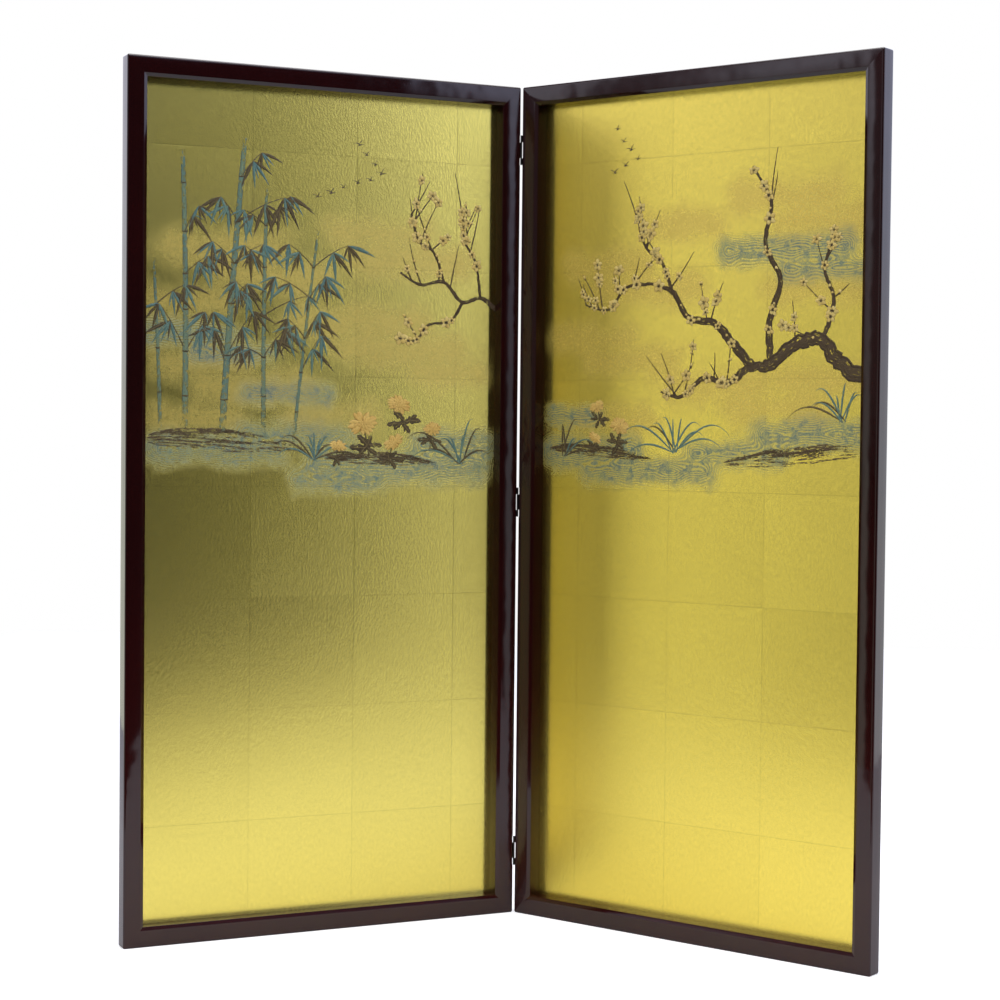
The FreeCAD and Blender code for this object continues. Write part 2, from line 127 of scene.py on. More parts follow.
def addPiece(name, side, points, quads, caps=(), replaced=(), uv=None, fields=None, sharp=35.0):
    # quads is an (n, 4) array and caps a list of longer or shorter faces; all turn outwards together
    points = points.reshape(-1, 3)
    faces = quads.tolist() + [list(face) for face in caps]
    if signedVolume(points, quads) < 0:
        faces = [face[::-1] for face in faces]
    mesh = bpy.data.meshes.new(name)
    mesh.from_pydata(points.tolist(), [], faces)
    mesh.polygons.foreach_set("use_smooth", np.ones(len(faces), bool))
    mesh.set_sharp_from_angle(angle=math.radians(sharp))
    if uv is not None:
        corners = np.empty(len(mesh.loops), np.int32)
        mesh.loops.foreach_get("vertex_index", corners)
        layer = mesh.uv_layers.new(name="plan")
        layer.data.foreach_set("uv", uv.reshape(-1, 2)[corners].ravel().astype(np.float32))
    for title, amounts in (fields or {}).items():
        layer = mesh.attributes.new(title, "FLOAT", "POINT")
        layer.data.foreach_set("value", amounts.ravel().astype(np.float32))
    mesh.update()
    piece = bpy.data.objects.new(name, mesh)
    bpy.context.scene.collection.objects.link(piece)
    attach(piece, side + "_panel")
    if replaced:
        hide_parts(*replaced)
    return piece


def gridQuads(rows, columns, closed=True):
    # corner indices of a grid of rows by columns, whose columns may join up into a loop
    last = columns if closed else columns - 1
    row, column = np.meshgrid(np.arange(rows - 1), np.arange(last), indexing="ij")
    following = (column + 1) % columns
    corners = [row * columns + column, row * columns + following]
    corners += [(row + 1) * columns + following, (row + 1) * columns + column]
    return np.stack(corners, -1).reshape(-1, 4)


print("stage: frame facts", round(panelWidth, 4), round(panelHeight, 4), round(math.degrees(lean), 2))

# Materials, whose formulas are written in fields: the outputs of shader nodes


class Field:
    # a node's output, which adds, takes away and multiplies as a number does
    def __init__(self, socket):
        self.socket = socket

    def __add__(self, other):
        return maths("ADD", self, other)

    def __sub__(self, other):
        return maths("SUBTRACT", self, other)

    def __rsub__(self, other):
        return maths("SUBTRACT", other, self)

    def __mul__(self, other):
        return maths("MULTIPLY", self, other)

    __radd__ = __add__
    __rmul__ = __mul__


def treeOf(*sources):
    # the node tree of the first field among the sources
    return next(source.socket.id_data for source in sources if isinstance(source, Field))


def feed(node, sources):
    # fields are linked to the node's inputs, and numbers and colours become their own values
    for title, source in sources.items():
        if isinstance(source, Field):
            node.id_data.links.new(source.socket, node.inputs[title])
        else:
            node.inputs[title].default_value = source


def putNode(tree, kind, inputs=None, output=0, **settings):
    # gives one output, or all of them by name where output is None
    node = tree.nodes.new(kind)
    for title, setting in settings.items():
        setattr(node, title, setting)
    feed(node, inputs or {})
    if output is None:
        return {socket.name: Field(socket) for socket in node.outputs}
    return Field(node.outputs[output])


def maths(operation, *sources, clamp=False):
    inputs = dict(enumerate(sources))
    return putNode(treeOf(*sources), "ShaderNodeMath", inputs, operation=operation, use_clamp=clamp)


def vectors(operation, *sources, scale=None):
    inputs = dict(enumerate(sources))
    if scale is not None:
        inputs["Scale"] = scale
    return putNode(treeOf(*sources), "ShaderNodeVectorMath", inputs, operation=operation)


def noise(vector, scale, detail=3.0, roughness=0.55, output="Fac"):
    inputs = {"Vector": vector, "Scale": scale, "Detail": detail, "Roughness": roughness}
    return putNode(treeOf(vector), "ShaderNodeTexNoise", inputs, output)


def remap(source, low, high, newLow=0.0, newHigh=1.0, smooth=False):
    inputs = {"Value": source, "From Min": low, "From Max": high, "To Min": newLow, "To Max": newHigh}
    kind = "SMOOTHSTEP" if smooth else "LINEAR"
    return putNode(treeOf(source), "ShaderNodeMapRange", inputs, interpolation_type=kind, clamp=True)


def mixColour(amount, first, second, blend="MIX"):
    colours = [source if isinstance(source, Field) else (*source, 1.0) for source in (first, second)]
    inputs = {0: amount, 6: colours[0], 7: colours[1]}
    return putNode(treeOf(amount, first, second), "ShaderNodeMix", inputs, output=2,
                   data_type="RGBA", blend_type=blend)


def bumped(height, strength, distance):
    inputs = {"Height": height, "Strength": strength, "Distance": distance}
    return putNode(treeOf(height), "ShaderNodeBump", inputs)


def mapping(vector, place=(0.0, 0.0, 0.0), scale=(1.0, 1.0, 1.0)):
    inputs = {"Vector": vector, "Location": place, "Scale": scale}
    return putNode(treeOf(vector), "ShaderNodeMapping", inputs)


def stored(tree, title):
    return putNode(tree, "ShaderNodeAttribute", output="Fac", attribute_name=title)


def newMaterial(name):
    material = bpy.data.materials.new(name)
    material.use_nodes = True
    tree = material.node_tree
    tree.nodes.clear()
    shader = tree.nodes.new("ShaderNodeBsdfPrincipled")
    feed(tree.nodes.new("ShaderNodeOutputMaterial"), {"Surface": Field(shader.outputs[0])})
    return material, tree, shader


def newGroup(name, inputs, outputs):
    # a shader node group from its inputs' starting values, None for a vector, and its outputs' names
    tree = bpy.data.node_groups.new(name, "ShaderNodeTree")
    for title, start in inputs.items():
        kind = "NodeSocketVector" if start is None else "NodeSocketFloat"
        socket = tree.interface.new_socket(title, in_out="INPUT", socket_type=kind)
        if start is not None:
            socket.default_value = start
    for title in outputs:
        tree.interface.new_socket(title, in_out="OUTPUT", socket_type="NodeSocketFloat")
    return tree, putNode(tree, "NodeGroupInput", output=None), tree.nodes.new("NodeGroupOutput")


def useGroup(group, inputs):
    return putNode(treeOf(*inputs.values()), "ShaderNodeGroup", inputs, output=None, node_tree=group)


def makeGrainGroup():
    # two scales of noise and a sparse speck, for paper fibre, dust in lacquer and sanded metal
    inputs = {"Vector": None, "Scale": 400.0, "Speck Share": 0.3}
    tree, given, made = newGroup("grain", inputs, ("Grain", "Speck"))
    fine = noise(given["Vector"], given["Scale"], detail=2.0)
    broad = noise(given["Vector"], given["Scale"] * 0.13)
    specks = noise(given["Vector"], given["Scale"] * 0.6, detail=0.0)
    threshold = 1.0 - given["Speck Share"] * 0.5
    speck = remap(specks, threshold, threshold + 0.04, smooth=True)
    feed(made, {"Grain": fine * 0.6 + broad * 0.4, "Speck": speck})
    return tree


def makeLeafSquaresGroup():
    # square leaf laid edge over edge: two tones for each square and the thin doubled strip at its edges
    inputs = {"Vector": None, "Square": 0.117, "Overlap": 0.011, "Ragged": 0.008}
    tree, given, made = newGroup("leaf squares", inputs, ("Tone", "Seam", "Second Tone"))
    wander = noise(given["Vector"], 45.0, detail=4.0, roughness=0.5, output="Color")
    centred = vectors("SUBTRACT", wander, (0.5, 0.5, 0.5))
    counted = vectors("SCALE", given["Vector"], scale=maths("DIVIDE", 1.0, given["Square"]))
    counted = vectors("ADD", counted, vectors("SCALE", centred, scale=given["Ragged"]))
    cell = {"Vector": vectors("FLOOR", counted)}
    tones = putNode(tree, "ShaderNodeTexWhiteNoise", cell, output=None, noise_dimensions="2D")
    within = putNode(tree, "ShaderNodeSeparateXYZ", {0: vectors("FRACTION", counted)}, output=None)
    seams = [remap(within[axis], given["Overlap"], 0.0) for axis in ("X", "Y")]
    second = putNode(tree, "ShaderNodeSeparateColor", {0: tones["Color"]}, output="Blue")
    feed(made, {"Tone": tones["Value"], "Seam": maths("MAXIMUM", *seams), "Second Tone": second})
    return tree


def makeMistGroup():
    # a dabbed patch from the distance to its outline: full inside, thinning out in dabs towards the edge,
    # and lines that flow along the outline
    inputs = {"Vector": None, "Reach": 0.0, "Wander": 0.008, "Softness": 0.006, "Strength": 0.7,
              "Pitch": 0.0025, "Line Strength": 0.0, "Dab Scale": 260.0}
    tree, given, made = newGroup("dabbed mist", inputs, ("Cover", "Tone", "Line"))
    plan = given["Vector"]
    wander = given["Wander"] * 2.0
    reach = given["Reach"] + (noise(plan, 26.0, detail=4.0, roughness=0.6) - 0.5) * wander
    depth = remap(reach, given["Softness"], given["Softness"] * -1.0)
    coarse = noise(plan, given["Dab Scale"], detail=2.0, roughness=0.6)
    fine = noise(plan, given["Dab Scale"] * 4.0, detail=1.0)
    dab = coarse * 0.55 + fine * 0.45
    broken = remap(depth, 0.0, 0.85, smooth=True) * remap(dab, 0.34, 0.60, 0.45, 1.0)
    flow = (noise(plan, 16.0, detail=2.0) - 0.5) * wander + given["Reach"]
    place = maths("FRACT", maths("DIVIDE", flow, given["Pitch"]))
    ridge = remap(maths("ABSOLUTE", place - 0.5), 0.30, 0.16, smooth=True)
    drawn = remap(noise(plan, 90.0, detail=2.0), 0.38, 0.5, smooth=True)
    line = ridge * drawn * given["Line Strength"]
    tone = remap(noise(plan, 60.0), 0.35, 0.65)
    feed(made, {"Cover": broken * (1.0 - line) * given["Strength"], "Tone": tone, "Line": line * depth})
    return tree


def makeBrushGroup():
    # a brush stroke from its own length and width: where the hairs leave it dry, its rim and its vein
    inputs = {"Vector": None, "Dryness": 0.4, "Hair Scale": 1500.0, "Rim Start": 0.7, "Vein Width": 0.1}
    tree, given, made = newGroup("brush stroke", inputs, ("Cover", "Tone", "Rim", "Vein", "Hair"))
    alongHairs = vectors("MULTIPLY", given["Vector"], (0.10, 1.0, 1.0))
    hair = noise(alongHairs, given["Hair Scale"], roughness=0.6)
    patch = noise(given["Vector"], 230.0, roughness=0.6)
    bare = given["Dryness"] * 0.34 + 0.28 + stored(tree, "wear") * 0.45
    cover = remap(hair * 0.55 + patch * 0.45, bare, bare + 0.07, smooth=True)
    tone = maths("ADD", stored(tree, "tone") * 0.7, patch * 0.5, clamp=True)
    off = maths("ABSOLUTE", stored(tree, "across"))
    rim = remap(off, given["Rim Start"], given["Rim Start"] + 0.12, smooth=True)
    vein = remap(off, given["Vein Width"], 0.0, smooth=True)
    feed(made, {"Cover": cover, "Tone": tone, "Rim": rim, "Vein": vein, "Hair": hair})
    return tree


grainGroup = makeGrainGroup()
leafSquaresGroup = makeLeafSquaresGroup()
mistGroup = makeMistGroup()
brushGroup = makeBrushGroup()

lacquerLook = {
    "colour": (0.0125, 0.0017, 0.0018),
    "redColour": (0.027, 0.0027, 0.0026),
    "redSpan": (0.45, 0.12),  # painted floor light: redder towards the foot, where more light from the floor falls
    "redShares": (0.3, 0.7),  # how much of the red follows the clouds, as the lacquer's own tone, and how much the height, as painted floor light
    "roughness": 0.07,
    "ripple": 0.05,
    "rippleScale": 38.0,
    "dustScale": 500.0,
}


def lacquerMaterial():
    # deep red-brown gloss lacquer, faintly rippled as sprayed coats are, with painted floor light making it
    # redder towards the foot
    look = lacquerLook
    material, tree, shader = newMaterial("lacquer")
    place = putNode(tree, "ShaderNodeTexCoord", output="Object")
    cloud = remap(noise(place, 9.0), 0.4, 0.7)
    height = putNode(tree, "ShaderNodeSeparateXYZ", {0: place}, output="Z")
    # painted floor light: more red lower down, where light from the floor falls; the clouds' share below is
    # the lacquer's own tone
    low = remap(height, *look["redSpan"], smooth=True)
    red = cloud * look["redShares"][0] + low * look["redShares"][1]
    colour = mixColour(red, look["colour"], look["redColour"])
    grain = useGroup(grainGroup, {"Vector": place, "Scale": look["dustScale"], "Speck Share": 0.42})
    roughness = remap(grain["Grain"], 0.3, 0.7, look["roughness"] * 0.8, look["roughness"] * 1.3)
    relief = grain["Speck"] * 0.03 + noise(place, look["rippleScale"], detail=1.0)
    feed(shader, {"Base Color": colour, "Roughness": roughness, "IOR": 1.5,
                  "Normal": bumped(relief, look["ripple"], 0.004)})
    return material


goldLook = {
    # painted light: the same leaf tinted cooler on the left panel and warmer on the right, standing in for
    # the different light each panel reflects
    "colour": {"left": (0.93, 0.784, 0.185), "right": (0.95, 0.764, 0.145)},
    "deepShare": 0.90,  # how dark the deeper squares and clouds are
    "roughness": {"left": 0.192, "right": 0.236},
    "anisotropic": {"left": 0.62, "right": 0.0},
    "rougherBy": {"square": 0.016, "seam": -0.02, "grain": 0.14},
    "leafSquare": 117.0 * mm,
    "firstJoint": 69.0 * mm,  # the first joint between squares, from the fold's edge
    "firstRow": 354.0 * mm,  # and from the floor
    "grainScale": 2400.0,
    "mottleScale": 420.0,
    "cloudScale": 14.0,
    "seamShade": 0.80,
    "mottleShades": (0.91, 1.07),
    "heights": {"mottle": 0.8, "seam": 0.1, "grain": 0.3, "line": 0.35},
    "bump": 0.16,
    "bumpReach": 0.6 * mm,
}

mistLook = {
    "tan": {
        "colour": (0.56, 0.360, 0.080),
        "second": (0.46, 0.285, 0.065),
        "roughness": 0.30,
        "shape": {"Wander": 0.022, "Softness": 0.019, "Strength": 0.48, "Line Strength": 0.0,
                  "Dab Scale": 230.0},
    },
    "teal": {
        "colour": (0.055, 0.150, 0.150),
        "second": (0.034, 0.122, 0.160),
        "roughness": 0.36,
        "shape": {"Wander": 0.014, "Softness": 0.012, "Strength": 0.90, "Line Strength": 0.60,
                  "Dab Scale": 190.0},
    },
}


def goldMaterial(side):
    # leaf on paper, a satin metal whose squares differ a little in tone, with paper fibre, fine mottle and
    # pinholes, and soft bars of mist dabbed over it in ochre and in lined blue green
    look = goldLook
    material, tree, shader = newMaterial("gilt_" + side)
    plan = putNode(tree, "ShaderNodeUVMap", uv_map="plan")
    joint = sides[side] * (look["firstJoint"] - panelWidth / 2)
    counted = mapping(plan, place=(-joint, -look["firstRow"], 0.0))
    squares = useGroup(leafSquaresGroup, {"Vector": counted, "Square": look["leafSquare"]})
    grain = useGroup(grainGroup, {"Vector": plan, "Scale": look["grainScale"], "Speck Share": 0.46})
    fibre = mapping(plan, scale=(1.0, 0.45, 1.0))
    mottle = noise(fibre, look["mottleScale"], detail=4.0, roughness=0.7)
    cloud = noise(plan, look["cloudScale"], detail=5.0, roughness=0.6)
    # painted light: this panel's tint of the leaf, for the light that panel reflects
    sideLitGold = look["colour"][side]
    deeper = [value * look["deepShare"] for value in sideLitGold]
    colour = mixColour(squares["Tone"] * 0.5 + cloud * 0.5, sideLitGold, deeper)
    shade = remap(mottle, 0.3, 0.7, *look["mottleShades"])
    shade = shade * remap(squares["Seam"], 0.0, 1.0, 1.0, look["seamShade"])
    colour = mixColour(1.0, colour, shade, blend="MULTIPLY")
    rougher = look["rougherBy"]
    spread = squares["Second Tone"] * rougher["square"] + look["roughness"][side]
    spread = squares["Seam"] * rougher["seam"] + spread + (grain["Grain"] - 0.5) * rougher["grain"]
    tall = look["heights"]
    height = mottle * tall["mottle"] + squares["Seam"] * tall["seam"] + grain["Grain"] * tall["grain"]
    metal = 1.0
    for kind, mist in mistLook.items():
        dab = useGroup(mistGroup, {"Vector": plan, "Reach": stored(tree, kind + "Mist"), **mist["shape"]})
        cover = dab["Cover"]
        colour = mixColour(cover, colour, mixColour(dab["Tone"], mist["colour"], mist["second"]))
        metal = metal * (1.0 - cover)
        spread = putNode(tree, "ShaderNodeMix", {0: cover, 2: spread, 3: mist["roughness"]})
        height = dab["Line"] * tall["line"] + height
    tangent = putNode(tree, "ShaderNodeTangent", direction_type="UV_MAP", uv_map="plan")
    feed(shader, {"Base Color": colour, "Roughness": spread, "Metallic": metal,
                  "Normal": bumped(height, look["bump"], look["bumpReach"]), "Tangent": tangent,
                  "Anisotropic": look["anisotropic"][side], "Anisotropic Rotation": 0.25})
    return material


# each pigment: two tones, the colours of its rim and vein, how strongly they show and how dry the brush was
pigmentLook = {
    "ink": {"first": (0.044, 0.027, 0.015), "second": (0.084, 0.055, 0.027), "rim": (0.028, 0.017, 0.013),
            "rimShare": 0.5, "vein": (0.12, 0.08, 0.05), "veinShare": 0.0, "dryness": 0.38,
            "roughness": 0.6},
    "bark": {"first": (0.048, 0.030, 0.018), "second": (0.092, 0.061, 0.032), "rim": (0.030, 0.019, 0.015),
             "rimShare": 0.85, "vein": (0.16, 0.11, 0.07), "veinShare": 0.0, "dryness": 0.36,
             "roughness": 0.62},
    "earth": {"first": (0.058, 0.038, 0.020), "second": (0.125, 0.086, 0.040), "rim": (0.045, 0.028, 0.020),
              "rimShare": 0.3, "vein": (0.16, 0.11, 0.07), "veinShare": 0.0, "dryness": 0.36,
              "roughness": 0.62},
    "leafInk": {"first": (0.052, 0.036, 0.018), "second": (0.096, 0.070, 0.032),
                "rim": (0.032, 0.021, 0.016), "rimShare": 0.7, "vein": (0.40, 0.30, 0.11), "veinShare": 0.7,
                "dryness": 0.34, "roughness": 0.55},
    "teal": {"first": (0.060, 0.150, 0.165), "second": (0.115, 0.205, 0.165), "rim": (0.035, 0.080, 0.095),
             "rimShare": 0.6, "vein": (0.42, 0.40, 0.17), "veinShare": 0.6, "dryness": 0.34,
             "roughness": 0.5},
    "culm": {"first": (0.090, 0.180, 0.160), "second": (0.160, 0.220, 0.130), "rim": (0.045, 0.065, 0.050),
             "rimShare": 0.85, "vein": (0.38, 0.38, 0.17), "veinShare": 0.35, "dryness": 0.42,
             "roughness": 0.5},
    "petal": {"first": (0.60, 0.42, 0.105), "second": (0.72, 0.57, 0.20), "rim": (0.17, 0.092, 0.030),
              "rimShare": 0.8, "vein": (0.70, 0.46, 0.16), "veinShare": 0.3, "dryness": 0.14,
              "roughness": 0.5},
    "bloom": {"first": (0.56, 0.33, 0.075), "second": (0.70, 0.49, 0.135), "rim": (0.26, 0.125, 0.030),
              "rimShare": 0.85, "vein": (0.90, 0.68, 0.30), "veinShare": 0.5, "dryness": 0.12,
              "roughness": 0.42},
}


def pigmentMaterial(name):
    # pigment in glue over the leaf, clear wherever the brush ran dry so that the gold below shows
    look = pigmentLook[name]
    material, tree, shader = newMaterial(name + "_pigment")
    plan = putNode(tree, "ShaderNodeUVMap", uv_map="plan")
    place = putNode(tree, "ShaderNodeTexCoord", output="Object")
    brush = useGroup(brushGroup, {"Vector": plan, "Dryness": look["dryness"]})
    colour = mixColour(brush["Tone"], look["first"], look["second"])
    colour = mixColour(brush["Vein"] * look["veinShare"], colour, look["vein"])
    colour = mixColour(brush["Rim"] * look["rimShare"], colour, look["rim"])
    grain = useGroup(grainGroup, {"Vector": place, "Scale": goldLook["grainScale"], "Speck Share": 0.4})
    spread = remap(grain["Grain"], 0.3, 0.7, look["roughness"] - 0.05, look["roughness"] + 0.05)
    height = brush["Hair"] * 0.8 + grain["Grain"] * 0.4
    feed(shader, {"Base Color": colour, "Roughness": spread, "Normal": bumped(height, 0.3, 0.4 * mm),
                  "Alpha": brush["Cover"], "Specular IOR Level": 0.25})
    return material


# the small and hidden pieces: two close colours mixed by the grain, and the CAD nodes that wear them
finishLook = {
    "board_core": {"first": (0.36, 0.22, 0.11), "second": (0.46, 0.30, 0.16), "roughness": 0.75,
                   "scale": 300.0, "stretch": (1, 1, 8), "metallic": 0.0, "bump": 0.15,
                   "endings": ("_board",)},
    "tongue_wood": {"first": (0.48, 0.32, 0.17), "second": (0.58, 0.41, 0.24), "roughness": 0.65,
                    "scale": 300.0, "stretch": (1, 1, 6), "metallic": 0.0, "bump": 0.15,
                    "endings": ("_mitre_tongues",)},
    "lining_paper": {"first": (0.012, 0.010, 0.009), "second": (0.024, 0.019, 0.016), "roughness": 0.8,
                     "scale": 700.0, "stretch": (1, 1, 1), "metallic": 0.0, "bump": 0.3,
                     "endings": ("_rear_lining",)},
    "brad_steel": {"first": (0.50, 0.50, 0.51), "second": (0.60, 0.60, 0.60), "roughness": 0.32,
                   "scale": 900.0, "stretch": (1, 1, 1), "metallic": 1.0, "bump": 0.15,
                   "endings": ("_board_brads",)},
    "blackened_metal": {"first": (0.022, 0.020, 0.020), "second": (0.045, 0.040, 0.038), "roughness": 0.38,
                        "scale": 1200.0, "stretch": (1, 1, 1), "metallic": 0.85, "bump": 0.15,
                        "endings": ("_hinge_screws", "_leaf", "_pin")},
}


def finishMaterial(name):
    look = finishLook[name]
    material, tree, shader = newMaterial(name)
    place = mapping(putNode(tree, "ShaderNodeTexCoord", output="Object"), scale=look["stretch"])
    grain = useGroup(grainGroup, {"Vector": place, "Scale": look["scale"], "Speck Share": 0.4})["Grain"]
    colour = mixColour(remap(grain, 0.35, 0.65), look["first"], look["second"])
    spread = remap(grain, 0.3, 0.7, look["roughness"] - 0.06, look["roughness"] + 0.06)
    feed(shader, {"Base Color": colour, "Roughness": spread, "Metallic": look["metallic"],
                  "Normal": bumped(grain, look["bump"], 0.3 * mm)})
    return material


lacquer = lacquerMaterial()
gold = {side: goldMaterial(side) for side in sides}
for name, look in finishLook.items():
    finish = finishMaterial(name)
    for node, cad in frame["nodes"].items():
        if node.endswith(look["endings"]):
            cad.data.materials.clear()
            cad.data.materials.append(finish)
print("stage: materials and the CAD nodes' finishes")


def filletedOutline(corners, count):
    # corners are (depth, inset, radius): each sharp corner becomes an arc that meets both its edges
    corners = np.array(corners, float)
    outline = []
    for index, (depth, inset, radius) in enumerate(corners):
        here = np.array([depth, inset])
        before = corners[index - 1, :2] - here
        after = corners[(index + 1) % len(corners), :2] - here
        before /= np.linalg.norm(before)
        after /= np.linalg.norm(after)
        half = math.acos(np.clip(before @ after, -1, 1)) / 2
        bisector = (before + after) / np.linalg.norm(before + after)
        centre = here + bisector * radius / math.sin(half)
        start = here + before * radius / math.tan(half) - centre
        finish = here + after * radius / math.tan(half) - centre
        turn = math.atan2(start[0] * finish[1] - start[1] * finish[0], start @ finish)
        angles = math.atan2(start[1], start[0]) + np.linspace(0, turn, count)
        outline.append(centre + radius * np.stack([np.cos(angles), np.sin(angles)], 1))
    return np.concatenate(outline)


def memberProfile(arcPoints=9, crownPoints=17):
    # the member's section as (depth, inset from the outer edge), clockwise from the outer edge's front
    size = memberSizes
    width = size["faceWidth"]
    wall = width - size["rebateWidth"]
    small = size["edgeRadius"]
    crown = size["crownRise"]
    low, high = size["frontRadius"], width - size["bevelWidth"]
    outline = filletedOutline([
        (size["depth"], 0.0, size["backRadius"]),
        (size["depth"], wall, small),
        (size["rebateFloor"], wall, small / 3),
        (size["rebateFloor"], width, small),
        (crown + size["bevelDepth"], width, small),
        (crown, high, small),
        (crown, 0.0, size["frontRadius"]),
    ], arcPoints)
    # the crown is a parabola across the front between the bevel and the rounded edge
    front = np.linspace(high - small, low, crownPoints)[1:-1]
    at = len(outline) - arcPoints
    outline = np.insert(outline, at, np.stack([np.full(front.shape, crown), front], 1), axis=0)
    share = np.clip((outline[:, 1] - (low + high) / 2) / ((high - low) / 2), -1, 1)
    onFront = outline[:, 0] < crown + small / 4
    outline[:, 0] -= np.where(onFront, crown * (1 - share ** 2), 0)
    return outline


def seatedProfile(profile):
    # the same section with points doubled where a hinge leaf's seat ends on the outer edge, in their order
    # round the section
    size = memberSizes
    step = hingeSizes["cutStep"]
    cuts = np.array([hingeSizes["reliefReach"], hingeSizes["seatReach"]])
    extra = np.stack([np.concatenate([cuts - step, cuts + step]), np.zeros(4)], 1)
    profile = np.concatenate([profile, extra])
    depth, inset = profile[:, 0], profile[:, 1]
    onOuter = inset < size["edgeMatch"]
    firstBack = (inset <= size["backRadius"]) & (depth > size["depth"] / 2) & ~onOuter
    lap = (size["depth"] + size["faceWidth"]) * len(profile)
    key = np.arange(len(profile), dtype=float)
    key[onOuter] = lap + depth[onOuter]
    key[firstBack] = lap * 2 + inset[firstBack]
    return profile[np.argsort(key, kind="stable")]


def seatInset(depth):
    # how far in from the outer edge the wood is cut at a hinge, for each depth
    cut = np.where(depth < hingeSizes["seatReach"], hingeSizes["seatDepth"], 0.0)
    return np.where(depth < hingeSizes["reliefReach"], hingeSizes["reliefDepth"], cut)


def memberStations(length, seats):
    # places along a member, measured from its middle, with 1 where a hinge is let in and 0 elsewhere
    size = memberSizes
    step = hingeSizes["cutStep"]
    straight = length / 2 - size["faceWidth"] - size["tipRadius"]
    count = int(2 * straight / size["stationStep"])
    places = [(place, 0.0) for place in np.linspace(-straight, straight, count)]
    for low, high in seats:
        places = [(place, cut) for place, cut in places if not low - 2 * step < place < high + 2 * step]
        places += [(low - step, 0.0), (low + step, 1.0), (high - step, 1.0), (high + step, 0.0)]
    return np.array(sorted(places))


def memberGrid(length, seats, corners=7):
    # a profile carried along a straight path: one row for each station, one column for each profile point.
    # At an end the outer edge turns round the frame's tip and the rest runs to the 45 degree mitre.
    size = memberSizes
    depth, inset = seatedProfile(memberProfile()).T
    tip = size["tipRadius"]
    angle = np.linspace(0, math.pi / 4, corners)[:, None]
    swing = np.maximum(tip - inset, 0)
    curved = inset < tip
    mitred = inset + size["mitreStep"] * (1 - angle / angle[-1])
    fromEnd = np.where(curved, tip - swing * np.sin(angle), mitred)
    cornerInset = np.where(curved, tip - swing * np.cos(angle), inset)
    stations = memberStations(length, seats)
    along = np.repeat(stations[:, :1], len(inset), 1)
    straightInset = np.maximum(inset, stations[:, 1:] * seatInset(depth))
    rows = np.concatenate([fromEnd[::-1] - length / 2, along, length / 2 - fromEnd])
    insets = np.concatenate([cornerInset[::-1], straightInset, cornerInset])
    return rows, insets, np.broadcast_to(depth, rows.shape)


def buildMember(part, side, layout, length, seats=()):
    # layout turns (along, inset) of the member into (across, up) of the panel
    node = side + part
    rows, insets, depths = memberGrid(length, seats)
    across, up = layout(rows, insets)
    count = rows.shape[1]
    last = rows.size - count
    caps = [range(count - 1, -1, -1), range(last, last + count)]
    piece = addPiece(node + "_lacquered", side, toFrame(side, across, depths, up),
                     gridQuads(len(rows), count), caps, replaced=(node,))
    piece.data.materials.append(lacquer)


def hingeSeats():
    # where the leaves sit along a stile, from its middle, taken from the hinge leaves themselves
    middle, fit = panelHeight / 2, hingeSizes["endFit"]
    boxes = [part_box(place + "_hinge_left_leaf") for place in ("bottom", "middle", "top")]
    return [(low.z - middle - fit, high.z - middle + fit) for low, high in boxes]


halfWidth, halfHeight = panelWidth / 2, panelHeight / 2
for side, sign in sides.items():
    buildMember("_bottom_rail", side, lambda along, inset: (along, inset), panelWidth)
    buildMember("_top_rail", side, lambda along, inset: (along, panelHeight - inset), panelWidth)
    buildMember("_outer_stile", side,
                lambda along, inset: (sign * (halfWidth - inset), halfHeight + along), panelHeight)
    buildMember("_fold_stile", side,
                lambda along, inset: (sign * (inset - halfWidth), halfHeight + along), panelHeight,
                hingeSeats())
print("stage: lacquered frames")

giltSizes = {
    "cell": 2.6 * mm,  # grid step of the gilt face
    "margin": 14.5 * mm,  # from the panel's edge to the paper's
    "front": 17.5 * mm,
    "thickness": 0.3 * mm,
}

openingHalf = halfWidth - memberSizes["faceWidth"]
openingHeight = panelHeight - 2 * memberSizes["faceWidth"]

# Bars of mist as (middle across, middle up, length, radius): places as shares of the opening, across from
# its left edge and up from its foot, the length as a share of its width and the radius in millimetres
mistBarShares = {
    "left": {
        "tan": ((0.22, 0.805, 0.36, 17), (0.36, 0.775, 0.34, 14), (0.12, 0.742, 0.26, 13),
                (0.66, 0.832, 0.30, 13), (0.74, 0.800, 0.36, 17), (0.60, 0.722, 0.42, 15),
                (0.72, 0.690, 0.40, 16), (0.86, 0.664, 0.24, 11), (0.16, 0.668, 0.30, 14),
                (0.30, 0.640, 0.34, 15), (0.14, 0.600, 0.26, 12), (0.52, 0.606, 0.26, 11)),
        "teal": ((0.12, 0.702, 0.28, 12), (0.24, 0.680, 0.24, 9), (0.20, 0.566, 0.40, 16),
                 (0.42, 0.582, 0.34, 12), (0.72, 0.544, 0.56, 17), (0.88, 0.572, 0.26, 14),
                 (0.54, 0.526, 0.28, 9), (0.40, 0.634, 0.26, 9)),
    },
    "right": {
        "tan": ((0.76, 0.868, 0.34, 15), (0.86, 0.838, 0.30, 16), (0.44, 0.842, 0.28, 11),
                (0.22, 0.796, 0.30, 14), (0.34, 0.766, 0.36, 14), (0.84, 0.760, 0.28, 13),
                (0.16, 0.706, 0.26, 14), (0.30, 0.678, 0.32, 14), (0.56, 0.648, 0.34, 13),
                (0.86, 0.652, 0.28, 14), (0.74, 0.622, 0.32, 12), (0.24, 0.604, 0.26, 12)),
        "teal": ((0.76, 0.806, 0.40, 13), (0.88, 0.782, 0.28, 10), (0.16, 0.566, 0.34, 17),
                 (0.34, 0.544, 0.44, 13), (0.84, 0.590, 0.34, 13), (0.62, 0.566, 0.30, 10),
                 (0.10, 0.610, 0.18, 9)),
    },
}


def openingPoint(shares):
    # shares of the opening to metres in the panel's plan
    shares = np.asarray(shares, float)
    across = (2 * shares[..., 0] - 1) * openingHalf
    up = memberSizes["faceWidth"] + shares[..., 1] * openingHeight
    return np.stack([across, up], -1)


